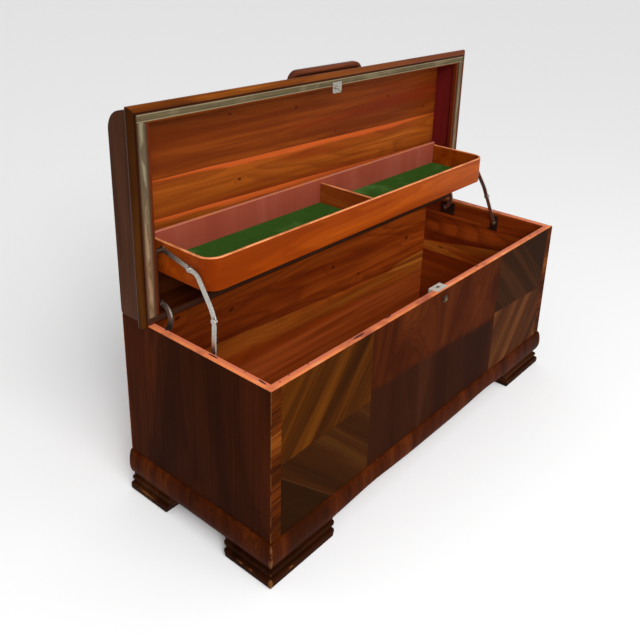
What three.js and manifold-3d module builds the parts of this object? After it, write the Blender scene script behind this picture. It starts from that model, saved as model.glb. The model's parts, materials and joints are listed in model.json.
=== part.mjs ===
// A blanket chest with a waterfall lid, shown with the lid standing open and its tray risen.
// Millimetres, +Z up, front towards -Y. The origin is on the floor under the middle of the base frame, and
// the functions below measure Y from the middle of the body, half the front rail's bulge behind it.
import * as THREE from "three";
import { mergeVertices } from "three/addons/utils/BufferGeometryUtils.js";
import Module from "manifold-3d";

const wasm = await Module();
wasm.setup();

// Driving sizes
const length = 1200;
const depth = 460;
const bodyHeight = 472;
const lidThickness = 95;
const wall = 20;
const veneer = 1.2;

// Gaps
const restGap = 0.4;
const sealGap = 2.3;
const fitGap = 0.3;
const runGap = 0.5;

// Base frame: rails and feet
const railTop = 112.5;
const railBottom = 44;
const bulge = 8.5;
const bulgeHeight = 75;
const undercut = 5;
const ledge = 72;
const frameInset = 34;
const floorThickness = 10;
const footFrontLength = 190;
const footSideLength = 128;
const footSlant = 14;
const beadOut = 8;
const beadHeight = 20;
const upperBeadOut = 3;
const upperBeadBottom = 24;
const upperBeadTop = 36;
const neckIn = 3;

// Lower edge of the front rail: how high it stands above the floor at places along the front
const waveEnd = { x: 395, z: 52 };
const waveShoulder = { x: 330, z: 59.5 };
const waveCrest = { x: 258, z: 64.5 };
const waveHollow = { x: 125, z: 57.5 };
const waveMiddle = 56;

// Front veneers
const stripWidth = 29;
const centreHalf = 284;

// Lid
const waterfallRadius = 48;
const lidEdgeRadius = 6;
const bodyEdgeRadius = 4;
const mouldingOut = 17;
const mouldingHeight = 17;
const mouldingStep = 1.5;
const mouldingFoot = 3;
const gasketThickness = 1.7;
const gasketWidth = 15.5;
const gasketEdge = 1;

// Pull on the lid's front
const pullHalfLength = 137;
const pullOut = 28;
const pullBar = 13;
const pullThickness = 15;
const pullAboveRim = 29;
const pullRound = 30;
const pullChamfer = 2;

// Lock in the front panel and catch in the lid, measured back from the front of the body
const lockHalfWidth = 24;
const lockBehindFace = 13;
const lockDepth = 20;
const lockPlateBehindFace = 7;
const lockHeight = 44;
const lockSkin = 3;
const lockPlateThickness = 2;
const lockSlotHalf = 8;
const catchBehindFace = 23;
const buttonDrop = 24;
const buttonRadius = 6;
const collarRadius = 9;
const collarOut = 3;
const buttonOut = 6.5;
const buttonIn = 26.5;
const boltThickness = 2.3;
const boltRest = 6.2;
const boltLength = 12;
const studNeck = 2.6;
const studHead = 4.5;
const studNeckLength = 5.8;
const studHeadLength = 3;
const catchHalfWidth = 17;

// Pivots of the linkage with the lid open: the arm's from the lid's rim and the body's top edge, and then
// each one as a step of [back, up] from the one before
const armForward = 8;
const armDrop = 22;
const armSwing = 59;
const trayPivotBehind = 5;
const trayPivotRise = 164.5;
const trayJointStep = [-87, -18];
const kneeStep = [-76, -92.5];
const stayPivotStep = [-22.5, -88.5];

// Steel straps
const plateThickness = 2.2;
const strap = 3;
const armStrap = 4;
const armInset = 16;
const strapWidth = 12;
const armWidth = 13;
const eyeRadius = 7.5;
const armEyeRadius = 7.3;
const pinRadius = 3;
const collar = 5.5;
const rivetRadius = 5.5;
const rivetHead = 1.6;
const play = 1.5;

// Battens inside the lid's ends, along the rim
const battenThickness = 10;
const battenDepth = 12;

// Tray, measured from the rim of the open lid, the top of the body and the inside of its ends
const trayEndGap = 32;
const trayBehindRim = 51;
const trayDepth = 192;
const trayLift = 106;
const trayHeight = 75;
const trayBackRise = 8;
const trayWall = 6;
const trayBackWall = 8;
const trayCorner = 38;
const trayFloorLift = 10;
const trayFloor = 5;
const trayDivider = 6;
const dividerDrop = 3;
const felt = 2;

// Counts
const arcSteps = 10;
const roundSteps = 20;
const waveSteps = 24;

// Places worked out from the sizes
const halfLength = length / 2;
const halfDepth = depth / 2;
const innerHalf = halfLength - wall;
const innerDepth = halfDepth - wall;
const faceY = -halfDepth;
const rimY = halfDepth - lidThickness;
const quarter = Math.PI / 2;
const lockOuter = faceY + lockBehindFace;
const lockInner = lockOuter + lockDepth;
const lockPlateOuter = faceY + lockPlateBehindFace;
const catchY = faceY + catchBehindFace;
const trayHalfLength = innerHalf - trayEndGap;
const trayBack = rimY + trayBehindRim;
const trayFront = trayBack - trayDepth;
const trayBottom = bodyHeight + trayLift;
const trayTop = trayBottom + trayHeight;
const stepped = ([y, z], [back, up]) => [y + back, z + up];
const armPivot = [rimY - armForward, bodyHeight - armDrop];
const trayPivot = [rimY + trayPivotBehind, bodyHeight + trayPivotRise];
const trayJoint = stepped(trayPivot, trayJointStep);
const kneeJoint = stepped(trayJoint, kneeStep);
const stayPivot = stepped(kneeJoint, stayPivotStep);

// Colours, with how rough and how metallic each surface is
const looks = {
  cedar: ["#8e4420", 0.6, 0],
  lidCedar: ["#9a4b1c", 0.55, 0],
  endWalnut: ["#35190f", 0.35, 0],
  striped: ["#7c3d15", 0.35, 0],
  goldField: ["#5e3d13", 0.35, 0],
  redField: ["#45200f", 0.35, 0],
  brownField: ["#4b2e16", 0.35, 0],
  rail: ["#4a1d0c", 0.35, 0],
  foot: ["#34200f", 0.4, 0],
  maroon: ["#571413", 0.5, 0],
  lidWalnut: ["#4d3228", 0.35, 0],
  moulding: ["#7a3f14", 0.3, 0],
  gasket: ["#7f735a", 0.95, 0],
  steel: ["#a9a39a", 0.35, 1],
  brass: ["#6f5a42", 0.35, 1],
  trayWood: ["#a24b17", 0.45, 0],
  trayRose: ["#8b4230", 0.6, 0],
  felt: ["#34521d", 1, 0],
};

// A named piece with its own material
function piece(name, geometry, look) {
  const [color, roughness, metalness] = looks[look];
  const mesh = new THREE.Mesh(geometry, new THREE.MeshStandardMaterial({ color, roughness, metalness }));
  mesh.name = name;
  return mesh;
}

// Solids for joining and cutting
function solid(geometry) {
  const bare = geometry.clone();
  bare.deleteAttribute("normal");
  bare.deleteAttribute("uv");
  const merged = mergeVertices(bare);
  return new wasm.Manifold(
    new wasm.Mesh({
      numProp: 3,
      vertProperties: merged.attributes.position.array,
      triVerts: new Uint32Array(merged.index.array),
    }),
  );
}

function surface(body) {
  const made = body.getMesh();
  const geometry = new THREE.BufferGeometry();
  geometry.setAttribute("position", new THREE.BufferAttribute(new Float32Array(made.vertProperties), 3));
  geometry.setIndex(new THREE.BufferAttribute(new Uint32Array(made.triVerts), 1));
  const faceted = geometry.toNonIndexed();
  faceted.computeVertexNormals();
  return faceted;
}

function joined(...geometries) {
  return surface(geometries.map(solid).reduce((whole, next) => whole.add(next)));
}

function cut(geometry, ...tools) {
  return surface(tools.map(solid).reduce((whole, next) => whole.subtract(next), solid(geometry)));
}

// A box between two corners
function box([x0, y0, z0], [x1, y1, z1]) {
  const geometry = new THREE.BoxGeometry(x1 - x0, y1 - y0, z1 - z0);
  return geometry.translate((x0 + x1) / 2, (y0 + y1) / 2, (z0 + z1) / 2);
}

// Outlines pushed along one axis: drawn in YZ and run along X, in XZ along Y, or in XY along Z
const axes = {
  x: [new THREE.Vector3(0, 1, 0), new THREE.Vector3(0, 0, 1), new THREE.Vector3(1, 0, 0)],
  y: [new THREE.Vector3(1, 0, 0), new THREE.Vector3(0, 0, 1), new THREE.Vector3(0, -1, 0)],
  z: [new THREE.Vector3(1, 0, 0), new THREE.Vector3(0, 1, 0), new THREE.Vector3(0, 0, 1)],
};

function pushed(axis, shape, from, to, options = {}) {
  const settings = { depth: to - from, bevelEnabled: false, curveSegments: arcSteps, ...options };
  const geometry = new THREE.ExtrudeGeometry(shape, settings);
  const start = axis === "y" ? -to : from;
  geometry.translate(0, 0, start);
  return geometry.applyMatrix4(new THREE.Matrix4().makeBasis(...axes[axis]));
}

function outline(points) {
  return new THREE.Shape(points.map(([u, v]) => new THREE.Vector2(u, v)));
}

function disc(axis, [u, v], radius, from, to) {
  const shape = new THREE.Shape().absarc(u, v, radius, 0, 2 * Math.PI);
  return pushed(axis, shape, from, to);
}

// Points on an arc, angles in degrees
function arc([u, v], radiusU, radiusV, fromDegrees, toDegrees, steps = arcSteps) {
  const points = [];
  for (let i = 0; i <= steps; i += 1) {
    const angle = THREE.MathUtils.degToRad(fromDegrees + ((toDegrees - fromDegrees) * i) / steps);
    points.push([u + radiusU * Math.cos(angle), v + radiusV * Math.sin(angle)]);
  }
  return points;
}

// A closed solid through rings of equal length; the first ring sees its points anticlockwise from outside
function lofted(rings, profile) {
  const count = profile.length;
  const caps = THREE.ShapeUtils.triangulateShape(
    profile.map(([u, v]) => new THREE.Vector2(u, v)),
    [],
  );
  const triangles = [];
  for (let r = 0; r + 1 < rings.length; r += 1) {
    for (let i = 0; i < count; i += 1) {
      const next = (i + 1) % count;
      triangles.push([rings[r][i], rings[r][next], rings[r + 1][next]]);
      triangles.push([rings[r][i], rings[r + 1][next], rings[r + 1][i]]);
    }
  }
  const last = rings[rings.length - 1];
  caps.forEach(([a, b, c]) => {
    triangles.push([rings[0][a], rings[0][c], rings[0][b]]);
    triangles.push([last[a], last[b], last[c]]);
  });
  const geometry = new THREE.BufferGeometry();
  geometry.setAttribute("position", new THREE.Float32BufferAttribute(triangles.flat(2), 3));
  return turnedOut(geometry);
}

// A lofted solid whose faces look out, whichever way round its rings were given
function turnedOut(geometry) {
  const position = geometry.attributes.position;
  const a = new THREE.Vector3();
  const b = new THREE.Vector3();
  const c = new THREE.Vector3();
  let volume = 0;
  for (let i = 0; i < position.count; i += 3) {
    a.fromBufferAttribute(position, i);
    b.fromBufferAttribute(position, i + 1);
    c.fromBufferAttribute(position, i + 2);
    volume += a.dot(b.cross(c));
  }
  if (volume < 0) {
    for (let i = 0; i < position.count; i += 3) {
      b.fromBufferAttribute(position, i + 1);
      c.fromBufferAttribute(position, i + 2);
      position.setXYZ(i + 1, c.x, c.y, c.z);
      position.setXYZ(i + 2, b.x, b.y, b.z);
    }
  }
  geometry.computeVertexNormals();
  return geometry;
}

const sides = { left: -1, right: 1 };

// The stretch of X between two distances inwards from the inside of the chest's end
function layer(side, near, far) {
  return [side * (innerHalf - near), side * (innerHalf - far)].sort((a, b) => a - b);
}

// Body: four walls and a floor, standing on the base frame
function bodyFront() {
  const panel = box([-innerHalf, faceY + veneer, ledge], [innerHalf, -innerDepth, bodyHeight]);
  const edge = lockHalfWidth + fitGap;
  const opened = [edge, -innerDepth + fitGap, bodyHeight + fitGap];
  const pocket = box([-edge, lockOuter - fitGap, bodyHeight - lockHeight - fitGap], opened);
  const notch = box([-edge, lockPlateOuter - fitGap, bodyHeight - lockPlateThickness - fitGap], opened);
  const bore = disc("y", [0, bodyHeight - buttonDrop], collarRadius + fitGap, faceY, -innerDepth);
  return cut(panel, pocket, notch, bore);
}

// The back and the ends share a rounded rear top edge, which the lid rolls over
function wallOutline(front) {
  const corner = [halfDepth - bodyEdgeRadius, bodyHeight - bodyEdgeRadius];
  return outline([
    [front, ledge],
    [halfDepth, ledge],
    ...arc(corner, bodyEdgeRadius, bodyEdgeRadius, 0, 90),
    [front, bodyHeight],
  ]);
}

function addBody(chest) {
  chest.add(piece("body_front", bodyFront(), "cedar"));
  chest.add(piece("body_back", pushed("x", wallOutline(innerDepth), -innerHalf, innerHalf), "cedar"));
  const floorTop = ledge + floorThickness;
  const board = box([-innerHalf, -innerDepth, ledge], [innerHalf, innerDepth, floorTop]);
  chest.add(piece("body_floor", board, "cedar"));
  for (const [name, side] of Object.entries(sides)) {
    const core = layer(side, 0, veneer - wall);
    chest.add(piece(`body_end_${name}`, pushed("x", wallOutline(faceY + veneer), ...core), "cedar"));
    const skin = layer(side, veneer - wall, -wall);
    const sheet = box([skin[0], faceY + veneer, railTop], [skin[1], halfDepth - bodyEdgeRadius, bodyHeight]);
    chest.add(piece(`veneer_end_${name}`, sheet, "endWalnut"));
  }
}

// Front veneers: a striped border strip at each end and three fields between them
function addFrontVeneers(chest) {
  const stripInner = halfLength - stripWidth;
  const leaf = (x0, x1) => box([x0, faceY, railTop], [x1, faceY + veneer, bodyHeight]);
  chest.add(piece("veneer_strip_left", leaf(-halfLength, -stripInner), "striped"));
  chest.add(piece("veneer_field_left", leaf(-stripInner, -centreHalf), "goldField"));
  const bore = disc("y", [0, bodyHeight - buttonDrop], collarRadius + fitGap, faceY - veneer, -innerDepth);
  chest.add(piece("veneer_field_centre", cut(leaf(-centreHalf, centreHalf), bore), "redField"));
  chest.add(piece("veneer_field_right", leaf(centreHalf, stripInner), "brownField"));
  chest.add(piece("veneer_strip_right", leaf(stripInner, halfLength), "striped"));
}

// Base rails. The profile is drawn as [distance out from the body's face, height].
function railProfile() {
  return [
    [-frameInset, railBottom],
    ...arc([-undercut, bulgeHeight], bulge + undercut, bulgeHeight - railBottom, -90, 0),
    ...arc([0, bulgeHeight], bulge, railTop - bulgeHeight, 0, 90).slice(1),
    [-veneer, railTop],
    [-veneer, ledge],
    [-frameInset, ledge],
  ];
}

function wave() {
  const half = [waveEnd, waveShoulder, waveCrest, waveHollow];
  const left = half.map(({ x, z }) => new THREE.Vector2(-x, z));
  const right = half.map(({ x, z }) => new THREE.Vector2(x, z)).reverse();
  const curve = new THREE.SplineCurve([...left, new THREE.Vector2(0, waveMiddle), ...right]);
  const points = curve.getPoints(waveSteps).map(({ x, y }) => [x, y]);
  return outline([[-waveEnd.x, 0], [waveEnd.x, 0], ...points.reverse()]);
}

function addRails(chest) {
  const profile = railProfile();
  const frontRing = (side) => profile.map(([out, z]) => [side * (halfLength + out), faceY - out, z]);
  const front = lofted([frontRing(-1), frontRing(1)], profile);
  const below = pushed("y", wave(), faceY - 2 * bulge, faceY + 2 * frameInset);
  chest.add(piece("rail_front", cut(front, below), "rail"));
  for (const [name, side] of Object.entries(sides)) {
    const mitre = profile.map(([out, z]) => [side * (halfLength + out), faceY - out, z]);
    const end = profile.map(([out, z]) => [side * (halfLength + out), halfDepth, z]);
    chest.add(piece(`rail_${name}`, lofted([mitre, end], profile), "rail"));
  }
  const inner = halfLength - frameInset;
  const back = box([-inner, halfDepth - frameInset, railBottom], [inner, halfDepth, ledge]);
  chest.add(piece("rail_back", back, "rail"));
}

// Feet. A bead with a rounded face below, a smaller bead above it and a hollow neck under the rail.
function footProfile() {
  const beadMiddle = (upperBeadBottom + upperBeadTop) / 2;
  const lowerRound = beadHeight / 4;
  return [
    [-frameInset, 0],
    [beadOut - lowerRound / 2, 0],
    ...arc([beadOut - lowerRound, lowerRound], lowerRound, lowerRound, -45, 0, 3),
    ...arc([beadOut - lowerRound, beadHeight - lowerRound], lowerRound, lowerRound, 0, 90, 5),
    [0, beadHeight],
    [0, upperBeadBottom],
    ...arc([0, beadMiddle], upperBeadOut, (upperBeadTop - upperBeadBottom) / 2, -90, 90, 8).slice(1),
    [-neckIn, upperBeadTop],
    [-neckIn, railBottom],
    [-frameInset, railBottom],
  ];
}

function addFeet(chest) {
  const profile = footProfile();
  const slant = (z) => (footSlant * z) / railBottom;
  for (const [name, side] of Object.entries(sides)) {
    const frontEnd = halfLength - footFrontLength;
    const alongFront = profile.map(([out, z]) => [side * (frontEnd - slant(z)), faceY - out, z]);
    const corner = profile.map(([out, z]) => [side * (halfLength + out), faceY - out, z]);
    const sideEnd = faceY + footSideLength;
    const alongSide = profile.map(([out, z]) => [side * (halfLength + out), sideEnd + slant(z), z]);
    const front = lofted([alongFront, corner, alongSide], profile);
    chest.add(piece(`foot_front_${name}`, front, "foot"));
    const rearEnd = halfDepth - footSideLength;
    const inner = profile.map(([out, z]) => [side * (halfLength + out), rearEnd - slant(z), z]);
    const outer = profile.map(([out, z]) => [side * (halfLength + out), halfDepth, z]);
    chest.add(piece(`foot_rear_${name}`, lofted([inner, outer], profile), "foot"));
  }
}

// Lock: a case with its face plate and collar, a button and a sliding bolt
function lockCase() {
  const top = bodyHeight - lockPlateThickness;
  const buttonHeight = bodyHeight - buttonDrop;
  const plate = box([-lockHalfWidth, lockPlateOuter, top], [lockHalfWidth, lockInner, bodyHeight]);
  const shellLow = bodyHeight - lockHeight;
  const shell = box([-lockHalfWidth, lockOuter, shellLow], [lockHalfWidth, lockInner, bodyHeight]);
  const collar = disc("y", [0, buttonHeight], collarRadius, faceY - collarOut, lockOuter + lockSkin / 2);
  const room = box(
    [lockSkin - lockHalfWidth, lockOuter + lockSkin, shellLow + lockSkin],
    [lockHalfWidth - lockSkin, lockInner - lockSkin, top],
  );
  const slotReach = studHead + runGap;
  const slot = box(
    [-lockSlotHalf, catchY - slotReach, top - veneer],
    [lockSlotHalf, catchY + slotReach, bodyHeight + veneer],
  );
  const boreEnd = lockInner - 2 * lockSkin;
  const bore = disc("y", [0, buttonHeight], buttonRadius + fitGap, faceY - 2 * collarOut, boreEnd);
  return cut(joined(plate, shell, collar), room, slot, bore);
}

function addLock(chest) {
  chest.add(piece("lock_case", lockCase(), "steel"));
  const button = disc("y", [0, bodyHeight - buttonDrop], buttonRadius, faceY - buttonOut, faceY + buttonIn);
  chest.add(piece("lock_button", button, "brass"));
  const boltTop = bodyHeight - lockPlateThickness - runGap;
  const roomFront = lockOuter + lockSkin + runGap;
  const roomBack = lockInner - lockSkin - runGap;
  const boltLow = boltTop - boltThickness;
  const bolt = box([-boltRest - boltLength, roomFront, boltLow], [-boltRest, roomBack, boltTop]);
  chest.add(piece("lock_bolt", bolt, "steel"));
}

// Lid, drawn shut with its rim at height 0 and then stood up on the back edge of the body
const lidTop = lidThickness - veneer;
const lidInnerTop = lidThickness - wall;
const waterfallCentre = [waterfallRadius - halfDepth, lidThickness - waterfallRadius];

function lidEndOutline() {
  const inner = waterfallRadius - veneer;
  const rearTop = [halfDepth - lidEdgeRadius, lidTop - lidEdgeRadius];
  const rearRim = [halfDepth - lidEdgeRadius, lidEdgeRadius];
  return outline([
    [veneer - halfDepth, 0],
    ...arc(rearRim, lidEdgeRadius, lidEdgeRadius, -90, 0),
    ...arc(rearTop, lidEdgeRadius, lidEdgeRadius, 0, 90),
    ...arc(waterfallCentre, inner, inner, 90, 180),
  ]);
}

function lidFrontOutline() {
  const inner = waterfallRadius - veneer;
  return outline([
    [veneer - halfDepth, 0],
    [-innerDepth, 0],
    [-innerDepth, lidInnerTop],
    [waterfallCentre[0], lidInnerTop],
    ...arc(waterfallCentre, inner, inner, 90, 180),
  ]);
}

function lidSheetOutline() {
  const inner = waterfallRadius - veneer;
  const rear = halfDepth - lidEdgeRadius;
  return outline([
    [-halfDepth, 0],
    [veneer - halfDepth, 0],
    ...arc(waterfallCentre, inner, inner, 180, 90),
    [rear, lidTop],
    [rear, lidThickness],
    ...arc(waterfallCentre, waterfallRadius, waterfallRadius, 90, 180),
  ]);
}

function addLidBoards(lid) {
  lid.add(piece("lid_front_board", pushed("x", lidFrontOutline(), -innerHalf, innerHalf), "lidCedar"));
  const rearTop = [halfDepth - lidEdgeRadius, lidTop - lidEdgeRadius];
  const top = outline([
    [waterfallCentre[0], lidInnerTop],
    [halfDepth, lidInnerTop],
    ...arc(rearTop, lidEdgeRadius, lidEdgeRadius, 0, 90),
    [waterfallCentre[0], lidTop],
  ]);
  lid.add(piece("lid_top_board", pushed("x", top, -innerHalf, innerHalf), "lidCedar"));
  const rearRim = [halfDepth - lidEdgeRadius, lidEdgeRadius];
  const back = outline([
    [innerDepth, 0],
    ...arc(rearRim, lidEdgeRadius, lidEdgeRadius, -90, 0),
    [halfDepth, lidInnerTop],
    [innerDepth, lidInnerTop],
  ]);
  lid.add(piece("lid_back_board", pushed("x", back, -innerHalf, innerHalf), "lidCedar"));
  lid.add(piece("lid_veneer", pushed("x", lidSheetOutline(), -halfLength, halfLength), "lidWalnut"));
  for (const [name, side] of Object.entries(sides)) {
    const core = layer(side, 0, veneer - wall);
    const [inner, outer] = layer(side, -veneer, battenThickness);
    const batten = box([inner, fitGap - innerDepth, 0], [outer, innerDepth - fitGap, battenDepth]);
    lid.add(piece(`lid_end_${name}`, joined(pushed("x", lidEndOutline(), ...core), batten), "maroon"));
    const skin = layer(side, veneer - wall, -wall);
    lid.add(piece(`lid_end_veneer_${name}`, pushed("x", lidEndOutline(), ...skin), "lidWalnut"));
  }
}

// Half-round moulding round the front and the ends of the rim
function addMouldings(lid) {
  const radius = mouldingHeight / 2;
  const profile = [
    [0, mouldingStep],
    ...arc([mouldingOut - radius, radius], radius, radius, -125, 90),
    [mouldingFoot, mouldingHeight],
    [0, mouldingHeight + mouldingFoot],
  ];
  const corner = (side) => profile.map(([out, z]) => [side * (halfLength + out), faceY - out, z]);
  lid.add(piece("lid_moulding_front", lofted([corner(-1), corner(1)], profile), "moulding"));
  for (const [name, side] of Object.entries(sides)) {
    const end = profile.map(([out, z]) => [side * (halfLength + out), halfDepth, z]);
    lid.add(piece(`lid_moulding_${name}`, lofted([corner(side), end], profile), "moulding"));
  }
}

// Felt strips on the rim; the front one is cut away round the catch
function addGaskets(lid) {
  const outerX = halfLength - gasketEdge;
  const innerX = outerX - gasketWidth;
  const frontOuter = gasketEdge - halfDepth;
  const frontInner = frontOuter + gasketWidth;
  const rearOuter = halfDepth - lidEdgeRadius;
  const rearInner = halfDepth - wall + gasketEdge;
  const notch = catchHalfWidth + runGap;
  const notchY = lockPlateOuter - runGap;
  const front = outline([
    [-outerX, frontOuter],
    [outerX, frontOuter],
    [outerX, frontInner],
    [notch, frontInner],
    [notch, notchY],
    [-notch, notchY],
    [-notch, frontInner],
    [-outerX, frontInner],
  ]);
  lid.add(piece("gasket_front", pushed("z", front, -gasketThickness, 0), "gasket"));
  const back = box([-outerX, rearInner, -gasketThickness], [outerX, rearOuter, 0]);
  lid.add(piece("gasket_back", back, "gasket"));
  for (const [name, side] of Object.entries(sides)) {
    const [x0, x1] = [side * innerX, side * outerX].sort((a, b) => a - b);
    const strip = box([x0, frontInner + fitGap, -gasketThickness], [x1, rearInner - fitGap, 0]);
    lid.add(piece(`gasket_${name}`, strip, "gasket"));
  }
}

// Pull: a bar that stands off the lid's front on its two curved ends
function addPull(lid) {
  const inner = pullOut - pullBar;
  const foot = pullHalfLength - pullBar;
  const shape = outline([
    [-pullHalfLength, 0],
    ...arc([pullRound - pullHalfLength, 0], pullRound, pullOut, 180, 90),
    ...arc([pullHalfLength - pullRound, 0], pullRound, pullOut, 90, 0),
    [foot, 0],
    ...arc([foot - inner, 0], inner, inner, 0, 90),
    ...arc([inner - foot, 0], inner, inner, 90, 180),
  ].reverse());
  const bevel = { bevelEnabled: true, bevelSegments: 2, bevelOffset: -pullChamfer };
  const options = { ...bevel, bevelSize: pullChamfer, bevelThickness: pullChamfer };
  const low = pullAboveRim + pullChamfer;
  const high = pullAboveRim + pullThickness - pullChamfer;
  const geometry = pushed("z", shape, low, high, options);
  geometry.applyMatrix4(new THREE.Matrix4().makeRotationX(Math.PI));
  geometry.translate(0, faceY, low + high);
  lid.add(piece("lid_pull", geometry, "moulding"));
}

// Catch: a plate on the front rim with a headed stud that enters the lock
function addCatch(lid) {
  const corner = catchHalfWidth / 3;
  const back = -innerDepth + wall / 2 + corner;
  const plate = outline([
    [-catchHalfWidth, lockPlateOuter],
    [catchHalfWidth, lockPlateOuter],
    ...arc([catchHalfWidth - corner, back - corner], corner, corner, 0, 90, 5),
    ...arc([corner - catchHalfWidth, back - corner], corner, corner, 90, 180, 5),
  ]);
  const neckEnd = -gasketThickness - studNeckLength;
  const neck = disc("z", [0, catchY], studNeck, neckEnd - studHeadLength / 2, -gasketThickness / 2);
  const head = disc("z", [0, catchY], studHead, neckEnd - studHeadLength, neckEnd);
  lid.add(piece("lid_catch", joined(pushed("z", plate, -gasketThickness, 0), neck, head), "steel"));
}

function addLid(chest) {
  const lid = new THREE.Group();
  addLidBoards(lid);
  addMouldings(lid);
  addGaskets(lid);
  addPull(lid);
  addCatch(lid);
  lid.rotation.x = -quarter;
  lid.position.set(0, rimY, bodyHeight + restGap + halfDepth);
  chest.add(lid);
}

// The pivot between arm and lid. The shut lid comes upright by a quarter turn about one point, and the arm
// takes the first part of that turn the other way, so the lid's pivot on the arm follows from both.
function lidPivot() {
  const turned = ([y, z], angle) => [
    y * Math.cos(angle) - z * Math.sin(angle),
    y * Math.sin(angle) + z * Math.cos(angle),
  ];
  const wholeY = (depth - lidThickness + restGap - sealGap) / 2;
  const whole = [wholeY, bodyHeight + restGap + halfDepth - wholeY];
  const swing = THREE.MathUtils.degToRad(armSwing);
  const [wy, wz] = turned(whole, quarter);
  const [sy, sz] = turned([whole[0] - wy - armPivot[0], whole[1] - wz - armPivot[1]], swing);
  const shift = [armPivot[0] + sy, armPivot[1] + sz];
  const rest = quarter + swing;
  const cos = 1 - Math.cos(rest);
  const sin = Math.sin(rest);
  const size = cos * cos + sin * sin;
  return [(cos * shift[0] - sin * shift[1]) / size, (sin * shift[0] + cos * shift[1]) / size];
}

// A flat strap along a centre line, with round eyes at its pivots
function strapShape(centre, width) {
  const near = [];
  const far = [];
  centre.forEach(([y, z], i) => {
    const [y0, z0] = centre[Math.max(i - 1, 0)];
    const [y1, z1] = centre[Math.min(i + 1, centre.length - 1)];
    const run = Math.hypot(y1 - y0, z1 - z0);
    const offset = [((z1 - z0) / run) * (width / 2), ((y0 - y1) / run) * (width / 2)];
    near.push([y + offset[0], z + offset[1]]);
    far.push([y - offset[0], z - offset[1]]);
  });
  return outline([...near, ...far.reverse()]);
}

function smooth(points, steps) {
  const curve = new THREE.SplineCurve(points.map(([y, z]) => new THREE.Vector2(y, z)));
  return curve.getPoints(steps).map(({ x, y }) => [x, y]);
}

// A place on the way from one pivot to another, by its shares of the run back and of the rise
function between([y0, z0], [y1, z1], [shareBack, shareUp]) {
  return [y0 + shareBack * (y1 - y0), z0 + shareUp * (z1 - z0)];
}

// A pin from one layer to another, with a riveted head on its far end
function rivet(side, at, from, to, radius = rivetRadius) {
  const reach = to + Math.sign(to - from) * rivetHead;
  const pin = disc("x", at, pinRadius, ...layer(side, from, (to + reach) / 2));
  const head = disc("x", at, radius, ...layer(side, to, reach));
  return [pin, head];
}

// The layers that the straps lie in, as distances inwards from the inside of the chest's end
const plateLayer = [0, plateThickness];
const stayFootLayer = [plateThickness + runGap, plateThickness + runGap + strap];
const hingeLayer = [battenThickness + fitGap, battenThickness + fitGap + plateThickness];
const armLayer = [armInset, armInset + armStrap];
const barLayer = [trayEndGap - strap, trayEndGap];
const upperLayer = [barLayer[0] - fitGap - strap, barLayer[0] - fitGap];
const kneeLayer = [upperLayer[0] - fitGap - strap, upperLayer[0] - fitGap];

// Plates screwed to the body and to the lid's battens, with the pins that the arms, bars and stays turn on
function addPlates(chest) {
  const pivot = lidPivot();
  for (const [name, side] of Object.entries(sides)) {
    const skin = layer(side, ...plateLayer);
    const armPin = rivet(side, armPivot, plateThickness / 2, armLayer[1] + fitGap);
    const armCollar = disc("x", armPivot, collar, ...layer(side, plateThickness / 2, armLayer[0] - fitGap));
    const [ay, az] = armPivot;
    const reach = 2 * armWidth;
    const armPlate = box([skin[0], ay - reach, az - reach], [skin[1], ay + reach, az + armWidth]);
    chest.add(piece(`arm_plate_${name}`, joined(armPlate, armCollar, ...armPin), "steel"));
    const [ky, kz] = stayPivot;
    const tall = 2 * strapWidth;
    const stayPlate = box([skin[0], ky - strapWidth, kz - tall], [skin[1], ky + strapWidth, kz + tall]);
    const stayPin = rivet(side, stayPivot, plateThickness / 2, stayFootLayer[1] + fitGap);
    chest.add(piece(`stay_plate_${name}`, joined(stayPlate, ...stayPin), "steel"));
    const hinge = layer(side, ...hingeLayer);
    const middle = (hingeLayer[0] + hingeLayer[1]) / 2;
    const low = pivot[1] - eyeRadius;
    const high = trayPivot[1] + eyeRadius;
    const long = box([hinge[0], rimY + fitGap, low], [hinge[1], rimY + battenDepth, high]);
    const ear = disc("x", pivot, collar, ...hinge);
    const lidPin = rivet(side, pivot, middle, armLayer[1] + fitGap);
    const lidCollar = disc("x", pivot, collar, ...layer(side, middle, armLayer[0] - fitGap));
    const trayCollar = disc("x", trayPivot, collar, ...layer(side, middle, barLayer[0] - fitGap));
    const trayPin = disc("x", trayPivot, pinRadius, ...layer(side, middle, barLayer[1] - fitGap));
    const studs = [ear, lidCollar, ...lidPin, trayCollar, trayPin];
    chest.add(piece(`lid_hinge_plate_${name}`, joined(long, ...studs), "steel"));
  }
}

// Goose-neck arms that carry the lid round its own rim
const armShares = [[0.45, 0.97], [1.75, 0.8], [2.3, 0.56], [1.85, 0.28], [1, 0.11]];

function addArms(chest) {
  const pivot = lidPivot();
  const [ay, az] = armPivot;
  const rise = pivot[1] - az;
  const bends = armShares.map(([forward, up]) => [ay - forward * armForward, az + up * rise]);
  const centre = smooth([pivot, ...bends, armPivot], roundSteps);
  for (const [name, side] of Object.entries(sides)) {
    const across = layer(side, ...armLayer);
    const bar = pushed("x", strapShape(centre, armWidth), ...across);
    const eyes = [armPivot, pivot].map((at) => disc("x", at, armEyeRadius, ...across));
    const wide = layer(side, 0, armLayer[1] + wall);
    const holes = [armPivot, pivot].map((at) => disc("x", at, pinRadius + fitGap, ...wide));
    chest.add(piece(`lid_arm_${name}`, cut(joined(bar, ...eyes), ...holes), "steel"));
  }
}

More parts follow.
